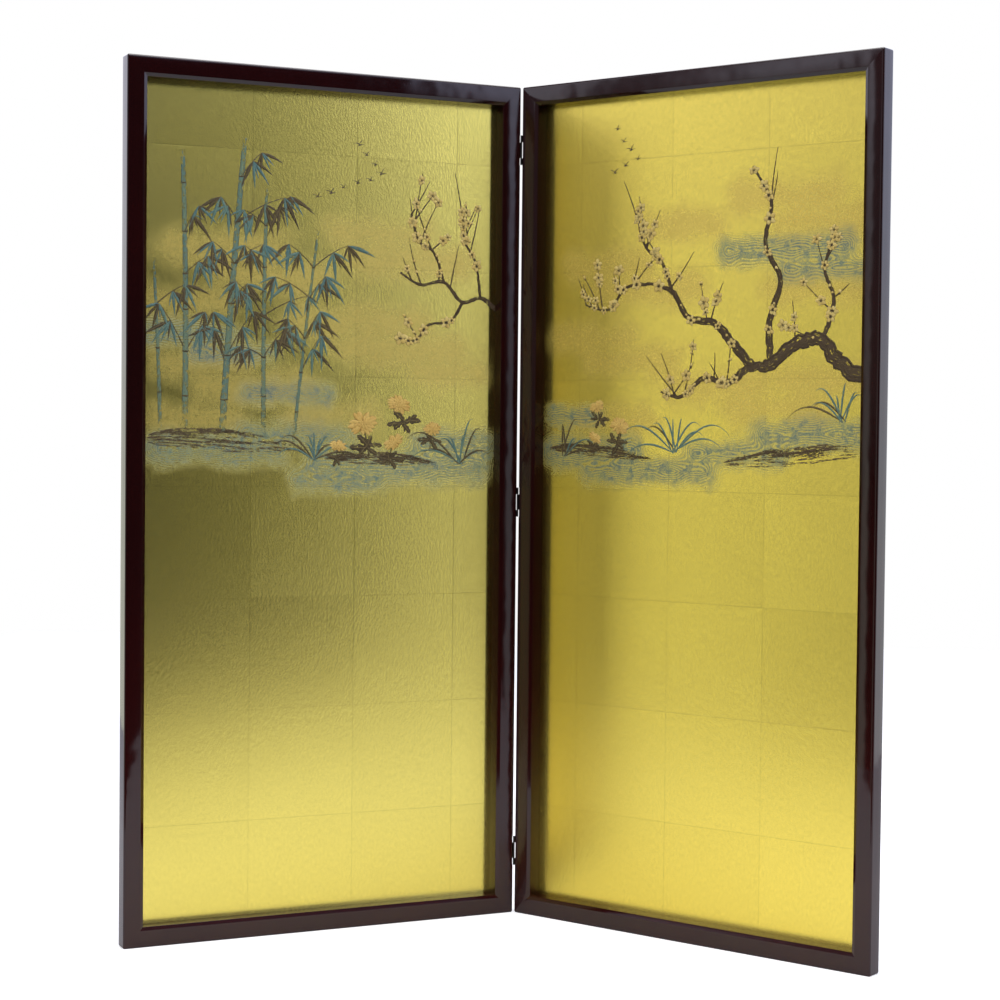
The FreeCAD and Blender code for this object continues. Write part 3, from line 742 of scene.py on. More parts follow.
def mistReach(across, up, bars, soft=4 * mm):
    # distance to the nearest bar with round ends, below zero inside, joined softly:
    # -k * log(sum of exp(-d / k)), where d = length(max(|x - middle| - half, 0), z - middle) - radius
    bars = np.asarray(bars, float)
    middle = openingPoint(bars[:, :2])
    radius = bars[:, 3] * mm
    half = np.maximum(bars[:, 2] * openingHalf - radius, 0)
    beside = np.maximum(np.abs(across[:, None] - middle[:, 0]) - half, 0)
    distance = np.hypot(beside, up[:, None] - middle[:, 1]) - radius
    return -soft * np.log(np.exp(-distance / soft).sum(1) + 1e-30)  # the last term keeps log from zero


def buildGiltPaper(side):
    # a fine grid over the front of the sheet, its rim turned to the back and closed by a fan
    size = giltSizes
    margin = size["margin"]
    columns = int((panelWidth - 2 * margin) / size["cell"])
    rows = int((panelHeight - 2 * margin) / size["cell"])
    up, across = np.meshgrid(np.linspace(margin, panelHeight - margin, rows),
                             np.linspace(margin - halfWidth, halfWidth - margin, columns), indexing="ij")
    index = np.arange(rows * columns).reshape(rows, columns)
    rim = np.concatenate([index[0, :-1], index[:-1, -1], index[-1, :0:-1], index[:0:-1, 0]])
    across = np.concatenate([across.ravel(), across.ravel()[rim], [0.0]])
    up = np.concatenate([up.ravel(), up.ravel()[rim], [halfHeight]])
    depth = np.full(across.shape, size["front"] + size["thickness"])
    depth[:index.size] = size["front"]
    back = index.size + np.arange(len(rim))
    nextRim, nextBack = np.roll(rim, -1), np.roll(back, -1)
    edges = np.stack([nextRim, rim, back, nextBack], 1)
    fan = np.stack([nextBack, back, np.full(len(rim), len(across) - 1)], 1)
    quads = np.concatenate([gridQuads(rows, columns, closed=False), edges])
    fields = {kind + "Mist": mistReach(across, up, bars) for kind, bars in mistBarShares[side].items()}
    piece = addPiece(side + "_gilt_face", side, toFrame(side, across, depth, up), quads,
                     fan.tolist(), (side + "_gilt_paper",), np.stack([across, up], 1), fields)
    piece.data.materials.append(gold[side])


for side in sides:
    buildGiltPaper(side)
print("stage: gilt paper and mist")

# The picture's plants: every stroke is a low ridge of pigment that stands proud of the gold

strokeSizes = {
    "sectionShares": ((-1.0, 0.0), (-0.82, 0.72), (0.0, 1.0), (0.82, 0.72), (1.0, 0.0), (0.0, 0.0)),
    "embed": 0.05 * mm,
    "seedReach": 2.0,  # metres over which the strokes' patterns are spread apart
    "endSwell": (5, 0.25),  # how fast a stroke swells from its ends, and its height there
}
pigments = {}


def bezier(controls, count):
    # curves (curves, count, 2): sum over i of choose(n, i) * t^i * (1 - t)^(n - i) * control i
    controls = np.asarray(controls, float)
    order = controls.shape[1] - 1
    share = np.linspace(0, 1, count)[:, None]
    power = np.arange(order + 1)
    choose = np.array([math.comb(order, int(term)) for term in power])
    weights = choose * share ** power * (1 - share) ** (order - power)
    return np.einsum("ti,bik->btk", weights, controls)


def splinePath(points, count):
    # a smooth curve through the points: on each stretch the cubic of its two ends and their neighbours
    points = np.asarray(points, float)
    padded = np.concatenate([2 * points[:1] - points[1:2], points, 2 * points[-1:] - points[-2:-1]])
    place = np.linspace(0, len(points) - 1, count)
    index = np.minimum(place.astype(int), len(points) - 2)
    share = (place - index)[:, None]
    before, first, second, after = (padded[index + step] for step in range(4))
    square = 2 * before - 5 * first + 4 * second - after
    cube = 3 * first - before - 3 * second + after
    return first + ((second - before) * share + square * share ** 2 + cube * share ** 3) / 2


def directionOf(angle):
    # unit vectors in the plan, the angle in degrees round from across towards up
    turned = np.radians(angle)
    return np.stack([np.cos(turned), np.sin(turned)], -1)


def outFrom(start, angle, length):
    # points at a length from the start, in the direction of an angle
    return start + directionOf(angle) * np.asarray(length)[..., None]


def besideOf(paths):
    # unit vectors square to each path, to its left
    tangent = np.gradient(paths, axis=1)
    tangent /= np.maximum(np.linalg.norm(tangent, axis=2, keepdims=True), 1e-9)
    return np.stack([-tangent[..., 1], tangent[..., 0]], -1)


def placeMotifs(local, squash, turn, size, middle):
    # plans (motifs, strokes, points, 2) flattened as they are seen, turned, sized and set in their places
    flat = local * np.stack([np.ones(len(turn)), squash], 1)[:, None, None]
    along, up = directionOf(turn)[:, None, None], directionOf(turn + 90)[:, None, None]
    turned = flat[..., :1] * along + flat[..., 1:] * up
    return turned * size[:, None, None, None] + middle[:, None, None]


def addStrokes(name, side, pigment, paths, halves, rise, seed, lift=0.0, wear=0.0):
    # the section's (side, height) carried along each path: side * half width across it, and proud of the
    # gold by lift + height * rise in millimetres, which sinks to the gold at both ends
    count, stations = paths.shape[:2]
    section = np.array(strokeSizes["sectionShares"])
    sideways = np.broadcast_to(halves, (count, stations))[..., None] * section[:, 0]
    flat = paths[:, :, None] + besideOf(paths)[:, :, None] * sideways[..., None]
    share = np.linspace(0, 1, stations)[None, :, None]
    speed, least = strokeSizes["endSwell"]
    swell = np.clip(speed * np.minimum(share, 1 - share) + least, 0, 1)
    proud = swell * (lift + rise * section[:, 1]) * mm
    proud = np.where(section[:, 1] > 0, proud, -strokeSizes["embed"])
    depth = giltSizes["front"] - np.broadcast_to(proud, flat.shape[:3])
    index = np.arange(sideways.size).reshape(sideways.shape)
    following = np.roll(index, -1, axis=2)
    walls = np.stack([index[:, :-1], following[:, :-1], following[:, 1:], index[:, 1:]], -1)
    first, last = index[:, 0], index[:, -1]
    quads = np.concatenate([walls.reshape(-1, 4), first[:, [3, 2, 1, 0]], first[:, [5, 4, 3, 0]],
                            last[:, [0, 1, 2, 3]], last[:, [0, 3, 4, 5]]])
    random = np.random.default_rng(seed)
    step = np.linalg.norm(np.diff(paths, axis=1), axis=2)
    length = np.concatenate([np.zeros((count, 1)), np.cumsum(step, 1)], 1)
    length = length + random.random((count, 1)) * strokeSizes["seedReach"]
    uv = np.stack([np.broadcast_to(length[..., None], sideways.shape), sideways], -1)
    fields = {"across": section[:, 0], "tone": random.random((count, 1, 1)),
              "wear": np.broadcast_to(wear, (count, stations))[..., None]}
    fields = {title: np.broadcast_to(amounts, sideways.shape) for title, amounts in fields.items()}
    points = toFrame(side, flat[..., 0], depth, flat[..., 1])
    piece = addPiece(side + "_" + name, side, points, quads, uv=uv, fields=fields, sharp=60.0)
    if pigment not in pigments:
        pigments[pigment] = pigmentMaterial(pigment)
    piece.data.materials.append(pigments[pigment])


def addTwoToned(plant, part, side, paths, halves, rise, random, seed, lift):
    # strokes that fall at random to blue green or to dark ink, each with a seed of its own
    chosen = random.random(len(paths)) < 0.5
    halves = np.broadcast_to(halves, paths.shape[:2])
    for pigment, mask, extra in (("teal", chosen, ""), ("leafInk", ~chosen, "_dark")):
        name = plant + extra + "_" + part
        addStrokes(name, side, pigment, paths[mask], halves[mask], rise, seed + len(name), lift)


def fits(ends, widthShare, heightShare):
    # which ends stay within shares of the opening
    highest = openingPoint([0, heightShare])[1]
    return (np.abs(ends[:, 0]) < openingHalf * widthShare) & (ends[:, 1] < highest)


# Bamboo: culms of jointed segments, and sprays of narrow leaves on thin twigs

bambooLook = {
    # each culm: foot, bend and top as shares of the opening, and its half width in millimetres
    "culmShares": (((0.115, 0.584), (0.120, 0.760), (0.105, 0.925), 3.4),
                   ((0.215, 0.577), (0.235, 0.740), (0.275, 0.945), 4.0),
                   ((0.330, 0.576), (0.325, 0.720), (0.335, 0.885), 2.7),
                   ((0.412, 0.566), (0.440, 0.700), (0.480, 0.835), 2.0),
                   ((0.050, 0.579), (0.045, 0.680), (0.030, 0.790), 2.2)),
    "segment": 43.0 * mm,
    # a culm's own segments as shares of that: the first, and the second more per millimetre of half width
    "segmentShares": (0.72, 0.07),
    "segmentJitter": 0.12,  # how far a joint strays, as a share of a segment
    "jointGap": 1.3 * mm,
    "flare": 0.14,  # how much wider a segment is at its joints
    "taper": 0.3,  # how much narrower a culm is at its top
    "ringShares": (1.22, 0.22),  # a joint's reach as a share of the culm's half width, its bow as one of it
    "ringHalf": 0.62 * mm,
    "endWear": 0.30,  # how dry the brush is at the foot and the top
    "twigLength": (26.0 * mm, 58.0 * mm),
    "twigAngle": (28, 68),  # degrees from upright
    "twigShare": 0.72,  # of the joints' sides that bear a twig
    "leafLength": (17.0 * mm, 33.0 * mm),
    "leafHalfShare": 0.068,  # half width as a share of the length
    "leafShares": (0.10, 0.72, 1.0, 0.92, 0.66, 0.34, 0.04),
    "leavesEach": 5,
    "leafFan": (26, 46, 9),  # degrees: the fan's lean, its half width and each leaf's own turn
    "leafSag": 0.16,  # as a share of its length
    "youngShare": 0.22,  # how many leaves are young, and how long those are
    "youngLength": 0.6,
}


def buildBamboo(side, seed):
    random = np.random.default_rng(seed)
    look = bambooLook
    segments, segmentHalves, segmentWear, rings, joints = [], [], [], [], []
    for foot, bend, top, half in look["culmShares"]:
        path = bezier([openingPoint([foot, bend, top])], 160)[0]
        reach = np.concatenate([[0], np.cumsum(np.linalg.norm(np.diff(path, axis=0), axis=1))])
        height = reach[-1]

        def pathAt(places):
            return np.stack([np.interp(places, reach, path[:, axis]) for axis in (0, 1)], -1)

        least, more = look["segmentShares"]
        jitter = look["segmentJitter"]
        spacing = look["segment"] * (least + more * half)
        count = max(int(height / spacing), 3)
        marks = np.linspace(0, height, count + 1)
        marks[1:-1] += random.uniform(-jitter, jitter, count - 1) * spacing
        share = np.linspace(0, 1, 7)
        low = marks[:-1, None] + look["jointGap"] / 2
        places = low + share * (np.diff(marks)[:, None] - look["jointGap"])
        segments.append(pathAt(places))
        flare = 1 + look["flare"] * np.abs(2 * share - 1) ** 5
        segmentHalves.append(half * mm * flare * (1 - look["taper"] * places / height))
        fromEnd = np.minimum(places, (height - places) * 1.6)
        segmentWear.append(np.clip(1 - fromEnd / (0.9 * spacing), 0, 1) * look["endWear"])
        centre = pathAt(marks[1:-1])
        ringReach, ringBow = look["ringShares"]
        width = half * mm * (1 - look["taper"] * marks[1:-1] / height)[:, None, None] * ringReach
        arc = np.linspace(-1, 1, 5)
        rings.append(centre[:, None] + width * np.stack([arc, ringBow * (arc ** 2 - 0.5)], -1))
        joints.append(centre[1:])
    addStrokes("bamboo_culms", side, "culm", np.concatenate(segments), np.concatenate(segmentHalves), 0.22,
               seed + 1, wear=np.concatenate(segmentWear))
    addStrokes("bamboo_joints", side, "ink", np.concatenate(rings), look["ringHalf"], 0.14, seed + 2, 0.2)
    buildSprays(side, np.concatenate(joints), random, seed)


def buildSprays(side, joints, random, seed):
    # twigs leave the joints upwards and outwards, and a fan of leaves hangs from each twig's end and middle
    look = bambooLook
    starts = np.repeat(joints, 2, axis=0)
    toRight = np.tile([1.0, -1.0], len(joints))
    kept = random.random(len(starts)) < look["twigShare"]
    starts, toRight = starts[kept], toRight[kept]
    angle = 90 - toRight * random.uniform(*look["twigAngle"], len(starts))
    length = random.uniform(*look["twigLength"], len(starts))
    ends = outFrom(starts, angle, length)
    middle = (starts + ends) / 2 + np.stack([np.zeros(len(starts)), 0.12 * length], 1)
    kept = fits(ends, 0.93, 0.95)
    twigs = bezier(np.stack([starts, middle, ends], 1)[kept], 8)
    halves = np.linspace(0.75, 0.35, 8) * mm
    addStrokes("bamboo_twigs", side, "leafInk", twigs, halves, 0.12, seed + 3, 0.05)
    start = np.concatenate([twigs[:, -1], twigs[:, 4]])[:, None]
    heading = np.tile(toRight[kept], 2)[:, None]
    leanBy, fanBy, turnBy = look["leafFan"]
    each = look["leavesEach"]
    fan = np.linspace(-1, 1, each) * fanBy + random.uniform(-turnBy, turnBy, (len(start), each))
    angle = -90 + heading * leanBy + fan
    length = random.uniform(*look["leafLength"], angle.shape)
    young = random.random(angle.shape) < look["youngShare"]
    length = np.where(young, length * look["youngLength"], length)
    end = outFrom(start, angle, length) + np.stack([np.zeros(angle.shape), -look["leafSag"] * length], -1)
    start = np.broadcast_to(start, end.shape)
    controls = np.stack([start, outFrom(start, angle, 0.55 * length), end], 2)
    halves = length.reshape(-1, 1) * look["leafHalfShare"] * np.array(look["leafShares"])
    addTwoToned("bamboo", "leaves", side, bezier(controls.reshape(-1, 3, 2), 7), halves, 0.2, random, seed,
                0.12)


# Chrysanthemums: rings of narrow petals over lobed leaves

chrysanthemumLook = {
    # each flower: middle as shares of the opening, radius in millimetres, how flat it is seen, its turn
    "left": ((0.610, 0.598, 17, 0.80, 15), (0.715, 0.622, 14, 0.72, -20), (0.700, 0.575, 12, 0.66, 30),
             (0.540, 0.570, 10, 0.62, -10), (0.815, 0.592, 11, 0.70, 8)),
    "right": ((0.255, 0.598, 13, 0.74, -14), (0.180, 0.622, 10, 0.66, 22), (0.175, 0.583, 9, 0.62, -30)),
    # rings from the outside in: petals, inner and outer reach and half width as shares of the radius
    "ringShares": ((17, 0.34, 1.0, 0.150), (13, 0.20, 0.72, 0.135), (9, 0.08, 0.44, 0.110),
                   (5, 0.0, 0.22, 0.085)),
    "ringTurn": 9,  # degrees from each ring to the next
    "ringLift": (0.1, 0.14),  # the outer ring's lift in millimetres, and more for each ring further in
    "petalShares": (0.35, 0.75, 1.0, 0.95, 0.30),
    "stemHalf": 0.8 * mm,
    "stemShare": 2.1,  # the stem's length as a share of the flower's radius
    "leafShares": (0.08, 0.75, 0.55, 1.0, 0.62, 0.78, 0.10),
    "leafHalfShare": 0.20,
    "leavesEach": 6,
}


def buildChrysanthemums(side, seed):
    random = np.random.default_rng(seed)
    look = chrysanthemumLook
    across, up, radius, squash, turn = np.array(look[side], float).T
    middle = openingPoint(np.stack([across, up], 1))
    radius = radius * mm
    count = len(radius)
    firstLift, moreLift = look["ringLift"]
    for ring, (petals, inner, outer, half) in enumerate(look["ringShares"]):
        angle = np.linspace(0, 360, petals, endpoint=False) + random.uniform(-5, 5, (count, petals))
        angle = angle + ring * look["ringTurn"]
        bend = random.uniform(-14, 14, angle.shape)
        reach = random.uniform(0.88, 1.06, angle.shape) * outer
        controls = [outFrom(0, angle, inner), outFrom(0, angle + bend * 0.4, 0.6 * reach),
                    outFrom(0, angle + bend, reach)]
        local = bezier(np.stack(controls, 2).reshape(-1, 3, 2), 5).reshape(count, petals, 5, 2)
        paths = placeMotifs(local, squash, turn, radius, middle).reshape(-1, 5, 2)
        halves = np.repeat(radius, petals)[:, None] * half * np.array(look["petalShares"])
        addStrokes("chrysanthemum_ring_" + str(ring), side, "bloom", paths, halves, 0.22, seed + ring,
                   firstLift + moreLift * ring)
    foot = middle + np.stack([random.uniform(-8, 8, count) * mm, -radius * look["stemShare"]], 1)
    bend = (middle + foot) / 2 + random.uniform(-5, 5, (count, 2)) * mm
    stems = bezier(np.stack([foot, bend, middle], 1), 9)
    addStrokes("chrysanthemum_stems", side, "leafInk", stems, look["stemHalf"], 0.12, seed + 7)
    each = look["leavesEach"]
    start = np.repeat(stems[:, 3], each, 0) + random.uniform(-2, 2, (count * each, 2)) * mm
    angle = np.tile(np.linspace(0, 360, each, endpoint=False), count)
    angle = angle + random.uniform(-20, 20, len(start))
    length = np.repeat(radius, each) * random.uniform(0.95, 1.5, len(start))
    end = start + outFrom(0, angle, length) * [1.0, 0.72]
    bend = outFrom((start + end) / 2, angle + 90, length * random.uniform(-0.16, 0.16, len(start)))
    leaves = bezier(np.stack([start, bend, end], 1), 7)
    halves = length[:, None] * look["leafHalfShare"] * np.array(look["leafShares"])
    addStrokes("chrysanthemum_leaves", side, "leafInk", leaves, halves, 0.16, seed + 8, 0.04)


# Plum: crooked boughs in dry brush, straight young shoots and round blossoms

plumLook = {
    # each bough: points as shares of the opening, then its half widths in millimetres at both ends
    "left": (
        (((1.01, 0.742), (0.955, 0.758), (0.900, 0.752), (0.845, 0.776), (0.775, 0.772), (0.715, 0.786)),
         2.4, 1.0),
        (((0.902, 0.752), (0.865, 0.728), (0.800, 0.722), (0.760, 0.702), (0.700, 0.706)), 1.5, 0.6),
        (((0.845, 0.776), (0.815, 0.812), (0.770, 0.826), (0.745, 0.858)), 1.4, 0.6),
        (((0.955, 0.758), (0.940, 0.802), (0.905, 0.830), (0.900, 0.868)), 1.3, 0.6),
    ),
    "right": (
        (((1.01, 0.655), (0.93, 0.668), (0.86, 0.700), (0.79, 0.694), (0.72, 0.672), (0.655, 0.668)),
         7.2, 5.0),
        (((0.665, 0.668), (0.600, 0.700), (0.545, 0.722), (0.470, 0.728), (0.420, 0.760), (0.350, 0.772)),
         4.6, 1.6),
        (((0.720, 0.676), (0.715, 0.722), (0.745, 0.770), (0.700, 0.812), (0.715, 0.862), (0.660, 0.905)),
         3.6, 0.9),
        (((0.655, 0.668), (0.590, 0.650), (0.520, 0.656), (0.450, 0.634), (0.385, 0.640)), 3.6, 0.9),
        (((0.420, 0.758), (0.385, 0.796), (0.330, 0.818), (0.300, 0.858)), 1.7, 0.7),
        (((0.870, 0.700), (0.900, 0.745), (0.872, 0.782), (0.905, 0.822)), 2.2, 0.8),
        (((0.350, 0.772), (0.270, 0.768), (0.215, 0.742), (0.140, 0.748)), 1.5, 0.6),
    ),
    "knots": 22,
    "knotRise": 0.26,
    "wander": 0.16,  # the boughs' crookedness as a share of their half width
    "barkLines": ((0.9, 0.16), (-0.95, 0.26), (0.35, 0.14)),  # place and thickness as shares of it
    "barkHalf": (0.35 * mm, 1.3 * mm),
    "shootLength": (22.0 * mm, 62.0 * mm),
    "shootSpread": 26,  # degrees from upright
    "shoots": {"left": 18, "right": 36},
    "blossoms": {"left": 34, "right": 86},
    "buds": {"left": 24, "right": 50},
    "blossomRadius": (4.6 * mm, 7.8 * mm),
    "petals": 5,
    "petalShares": (0.30, 0.86, 1.0, 0.80, 0.34),
    "petalHalfShare": 0.40,
    "stamens": 6,
    "stamenShares": (0.32, 0.2, 0.2, 0.36),
    "stamenReach": 0.52,
    "budShares": (0.5, 0.95, 1.0, 0.8, 0.3),
    "budHalf": 1.7 * mm,
    "cupShares": (0.9, 1.1, 0.7, 0.45, 0.3),
    "edgeGap": 9 * mm,  # blossoms keep this far from the opening's sides
}


def buildPlum(side, seed):
    random = np.random.default_rng(seed)
    look = plumLook
    stations = 44
    boughs = np.stack([splinePath(openingPoint(places), stations) for places, _, _ in look[side]])
    widths = np.array([(first, last) for _, first, last in look[side]]) * mm
    share = np.linspace(0, 1, stations)
    knots = np.interp(share * (look["knots"] - 1), np.arange(look["knots"]),
                      random.uniform(-1, 1, look["knots"]))
    halves = (widths[:, :1] * (1 - share) + widths[:, 1:] * share) * (1 + look["knotRise"] * knots)
    boughs = boughs + random.normal(0, look["wander"], boughs.shape) * halves[..., None]
    addStrokes("plum_boughs", side, "bark", boughs, halves, 0.26, seed + 1)
    beside = besideOf(boughs)
    edges = [boughs + beside * (halves * place)[..., None] for place, _ in look["barkLines"]]
    edgeHalves = [np.clip(halves * thick, *look["barkHalf"]) for _, thick in look["barkLines"]]
    addStrokes("plum_bark_lines", side, "ink", np.concatenate(edges), np.concatenate(edgeHalves), 0.14,
               seed + 2, 0.2)
    shoots = buildShoots(side, boughs, random, seed)
    blossoms = look["blossoms"][side]
    half = (blossoms + look["buds"][side]) // 2
    places = np.concatenate([pick(boughs[1:], half, random, 0.15), pick(shoots, half, random, 0.2)])
    places = places[random.permutation(len(places))]
    places = places[np.abs(places[:, 0]) < openingHalf - look["edgeGap"]]
    buildBlossoms(side, places[:blossoms], random, seed)
    buildBuds(side, places[blossoms:], random, seed)


def pick(paths, count, random, low):
    # points taken at random along random paths, from the share low of each onwards
    which = random.integers(0, len(paths), count)
    at = (random.uniform(low, 0.99, count) * paths.shape[1]).astype(int)
    return paths[which, at]


def buildShoots(side, boughs, random, seed):
    # straight thin shoots that leave the boughs upwards
    look = plumLook
    starts = pick(boughs, look["shoots"][side], random, 0.2)
    angle = 90 + random.normal(0, look["shootSpread"], len(starts))
    length = random.uniform(*look["shootLength"], len(starts))
    ends = outFrom(starts, angle, length)
    kept = fits(ends, 0.96, 0.955)
    starts, ends, angle, length = starts[kept], ends[kept], angle[kept], length[kept]
    middle = outFrom((starts + ends) / 2, angle + 90, length * random.uniform(-0.07, 0.07, len(starts)))
    shoots = bezier(np.stack([starts, middle, ends], 1), 9)
    addStrokes("plum_shoots", side, "ink", shoots, np.linspace(1.0, 0.4, 9) * mm, 0.14, seed + 3, 0.08)
    return shoots


def buildBlossoms(side, places, random, seed):
    # five round petals, then stamens as fine spokes round a dark eye
    look = plumLook
    count = len(places)
    petals, spokes = look["petals"], look["stamens"]
    radius = random.uniform(*look["blossomRadius"], count)
    squash = random.uniform(0.66, 1.0, count)
    turn = random.uniform(0, 180, count)
    angle = random.uniform(0, 360 / petals, (count, 1)) + np.arange(petals) * 360 / petals
    local = outFrom(0, angle[..., None], np.linspace(0.12, 1.0, 5))
    paths = placeMotifs(local, squash, turn, radius, places).reshape(-1, 5, 2)
    halves = np.repeat(radius * (0.5 + 0.5 * squash), petals)[:, None] * look["petalHalfShare"]
    addStrokes("plum_petals", side, "petal", paths, halves * np.array(look["petalShares"]), 0.22, seed + 4,
               0.16)
    angle = random.uniform(0, 360 / spokes, (count, 1)) + np.arange(spokes) * 360 / spokes
    local = outFrom(0, angle[..., None], np.linspace(0.0, look["stamenReach"], 4))
    paths = placeMotifs(local, squash, turn, radius, places).reshape(-1, 4, 2)
    addStrokes("plum_stamens", side, "ink", paths, np.array(look["stamenShares"]) * mm, 0.1, seed + 5, 0.42)


def buildBuds(side, places, random, seed):
    # small round buds, each on a short dark cup
    look = plumLook
    forward = directionOf(random.uniform(30, 150, len(places)))
    forward = (forward * random.uniform(2.6, 4.0, len(places))[:, None] * mm)[:, None]
    share = np.linspace(0, 1, 5)[:, None]
    addStrokes("plum_buds", side, "petal", places[:, None] + forward * share,
               np.array(look["budShares"]) * look["budHalf"], 0.25, seed + 6, 0.14)
    addStrokes("plum_cups", side, "ink", places[:, None] - forward * (share - 0.28),
               np.array(look["cupShares"]) * mm, 0.2, seed + 7, 0.2)


# Orchid grass: long blades that rise from one root and arch over

orchidLook = {
    # each tuft: root as shares of the opening, and its reach in millimetres
    "left": ((0.900, 0.548, 62), (0.470, 0.552, 44)),
    "right": ((0.430, 0.566, 60), (0.930, 0.604, 52), (0.070, 0.560, 46)),
    "blades": 11,
    "fan": 62,  # degrees from upright to the outermost blades
    "bladeHalf": 1.15 * mm,
    "droop": (0.45, -0.5),
}


def buildOrchids(side, seed):
    random = np.random.default_rng(seed)
    look = orchidLook
    tufts = np.array(look[side], float)
    each = look["blades"]
    root = np.repeat(openingPoint(tufts[:, :2]), each, 0)
    count = len(root)
    reach = np.repeat(tufts[:, 2], each) * mm * random.uniform(0.55, 1.1, count)
    fan = np.tile(np.linspace(-look["fan"], look["fan"], each), len(tufts))
    angle = 90 + fan + random.uniform(-7, 7, count)
    root = root + np.stack([random.uniform(-3.5, 3.5, count), random.uniform(-1, 1, count)], 1) * mm
    sideways = directionOf(angle)[:, :1]
    droop = np.concatenate([sideways, np.abs(sideways)], 1) * look["droop"]
    second = outFrom(root, angle, 0.95 * reach)
    end = second + droop * reach[:, None]
    controls = np.stack([root, outFrom(root, angle, 0.5 * reach), second, end], 1)
    blades = bezier(controls[np.abs(end[:, 0]) < openingHalf * 0.985], 20)
    share = np.linspace(0, 1, 20)
    halves = look["bladeHalf"] * (0.35 + 0.65 * np.sin(np.pi * share ** 0.8)) * (1 - 0.75 * share ** 3)
    addTwoToned("orchid", "blades", side, blades, halves, 0.16, random, seed, 0.1)


# Banks of earth: dry level strokes laid under a low crest

bankLook = {
    # each bank: the crest's left end, top and right end as shares of the opening, its depth in millimetres
    "left": (((-0.02, 0.578), (0.17, 0.606), (0.47, 0.566), 22.0),
             ((0.50, 0.556), (0.66, 0.572), (0.84, 0.548), 14.0)),
    "right": (((0.58, 0.556), (0.82, 0.586), (1.02, 0.574), 19.0),
              ((0.02, 0.570), (0.16, 0.584), (0.40, 0.556), 12.0)),
    "strokes": 74,
    "strokeSpan": (0.10, 0.34),  # a stroke's length as a share of its bank's
    "strokeHalf": (0.5 * mm, 1.7 * mm),
    "strokeShares": (0.15, 0.7, 1.0, 0.95, 0.9, 0.8, 0.62, 0.4, 0.1),
    "crowding": 1.35,  # above 1 the strokes crowd towards the crest
    "slope": 1.2 * mm,
    "endWear": 0.38,
    "edgeGap": 1.5 * mm,
}


def buildBanks(side, seed):
    random = np.random.default_rng(seed)
    look = bankLook
    paths, halves = [], []
    count = look["strokes"]
    shares = np.array(look["strokeShares"])
    along = np.linspace(0, 1, len(shares))
    for start, top, finish, depth in look[side]:
        crest = bezier([openingPoint([start, top, finish])], 200)[0]
        span = random.uniform(*look["strokeSpan"], count)
        first = random.uniform(0.0, 1.0 - span)
        place = first[:, None] + span[:, None] * along
        drop = random.random((count, 1)) ** look["crowding"]
        sunk = depth * mm * drop * (0.25 + 0.75 * np.sin(np.pi * place))
        sunk = sunk + random.uniform(-1, 1, (count, 1)) * look["slope"] * (2 * along - 1)
        paths.append(crest[(place * 199).astype(int)] - np.stack([np.zeros(sunk.shape), sunk], -1))
        halves.append(random.uniform(*look["strokeHalf"], (count, 1)) * (1.15 - 0.5 * drop) * shares)
    paths, halves = np.concatenate(paths), np.concatenate(halves)
    kept = np.abs(paths[:, :, 0]).max(1) < openingHalf - look["edgeGap"]
    addStrokes("bank_strokes", side, "earth", paths[kept], halves[kept], 0.12, seed + 1,
               wear=look["endWear"] * along)


# Birds: a loose wedge of geese, each two wings, a body and a neck

flockLook = {
    "left": (0.66, 0.905),  # the leader's place as shares of the opening
    "right": (0.30, 0.925),
    "arms": {"left": (5, 3), "right": (2, 3)},  # birds behind the leader on either arm
    "step": (14.5 * mm, 5.6 * mm),  # from each bird to the one behind it
    "otherArm": (-0.62, 1.9),  # the second arm's step as shares of that one
    "reach": (4.6 * mm, 6.4 * mm),
    "turn": (-12, 16),
    # strokes as shares of the reach: far wing, near wing, body and neck
    "strokeShares": (((0.05, 0.0), (-0.30, 0.50), (-0.98, 0.36)), ((0.05, 0.0), (0.18, 0.62), (0.74, 0.88)),
                     ((-0.42, -0.16), (0.04, 0.02), (0.50, 0.0)), ((0.46, 0.0), (0.66, 0.06), (0.92, 0.0))),
    "halfShares": ((0.055, 0.075, 0.065, 0.05, 0.02), (0.055, 0.075, 0.065, 0.05, 0.02),
                   (0.02, 0.09, 0.12, 0.09, 0.04), (0.04, 0.03, 0.03, 0.035, 0.02)),
    "thickness": 1.15,
}


def buildBirds(side, seed):
    random = np.random.default_rng(seed)
    look = flockLook
    back = np.array(look["step"])
    places = [np.zeros(2)]
    for count, step in zip(look["arms"][side], (-back, back * look["otherArm"])):
        places += [step * (number + 1) for number in range(count)]
    places = np.array(places) + random.uniform(-1.6, 1.6, (len(places), 2)) * mm
    reach = random.uniform(*look["reach"], len(places))
    turn = random.uniform(*look["turn"], len(places))
    shapes = np.array(look["strokeShares"])
    local = shapes * (1 + random.uniform(-0.10, 0.10, (len(places), *shapes.shape)))
    controls = placeMotifs(local, np.ones(len(turn)), turn, reach, openingPoint(look[side]) + places)
    halves = reach[:, None, None] * np.array(look["halfShares"]) * look["thickness"]
    addStrokes("geese", side, "ink", bezier(controls.reshape(-1, 3, 2), 5), halves.reshape(-1, 5), 0.12,
               seed + 1, 0.06)


plantings = ((buildBanks, "left", 81), (buildBanks, "right", 83), (buildBirds, "left", 91),
             (buildBirds, "right", 93), (buildBamboo, "left", 11), (buildChrysanthemums, "left", 23),
             (buildOrchids, "left", 31), (buildPlum, "right", 45), (buildPlum, "left", 71),
             (buildChrysanthemums, "right", 57), (buildOrchids, "right", 63))
for build, side, seed in plantings:
    build(side, seed)
print("stage: plants in pigment")

# Floor, light and camera

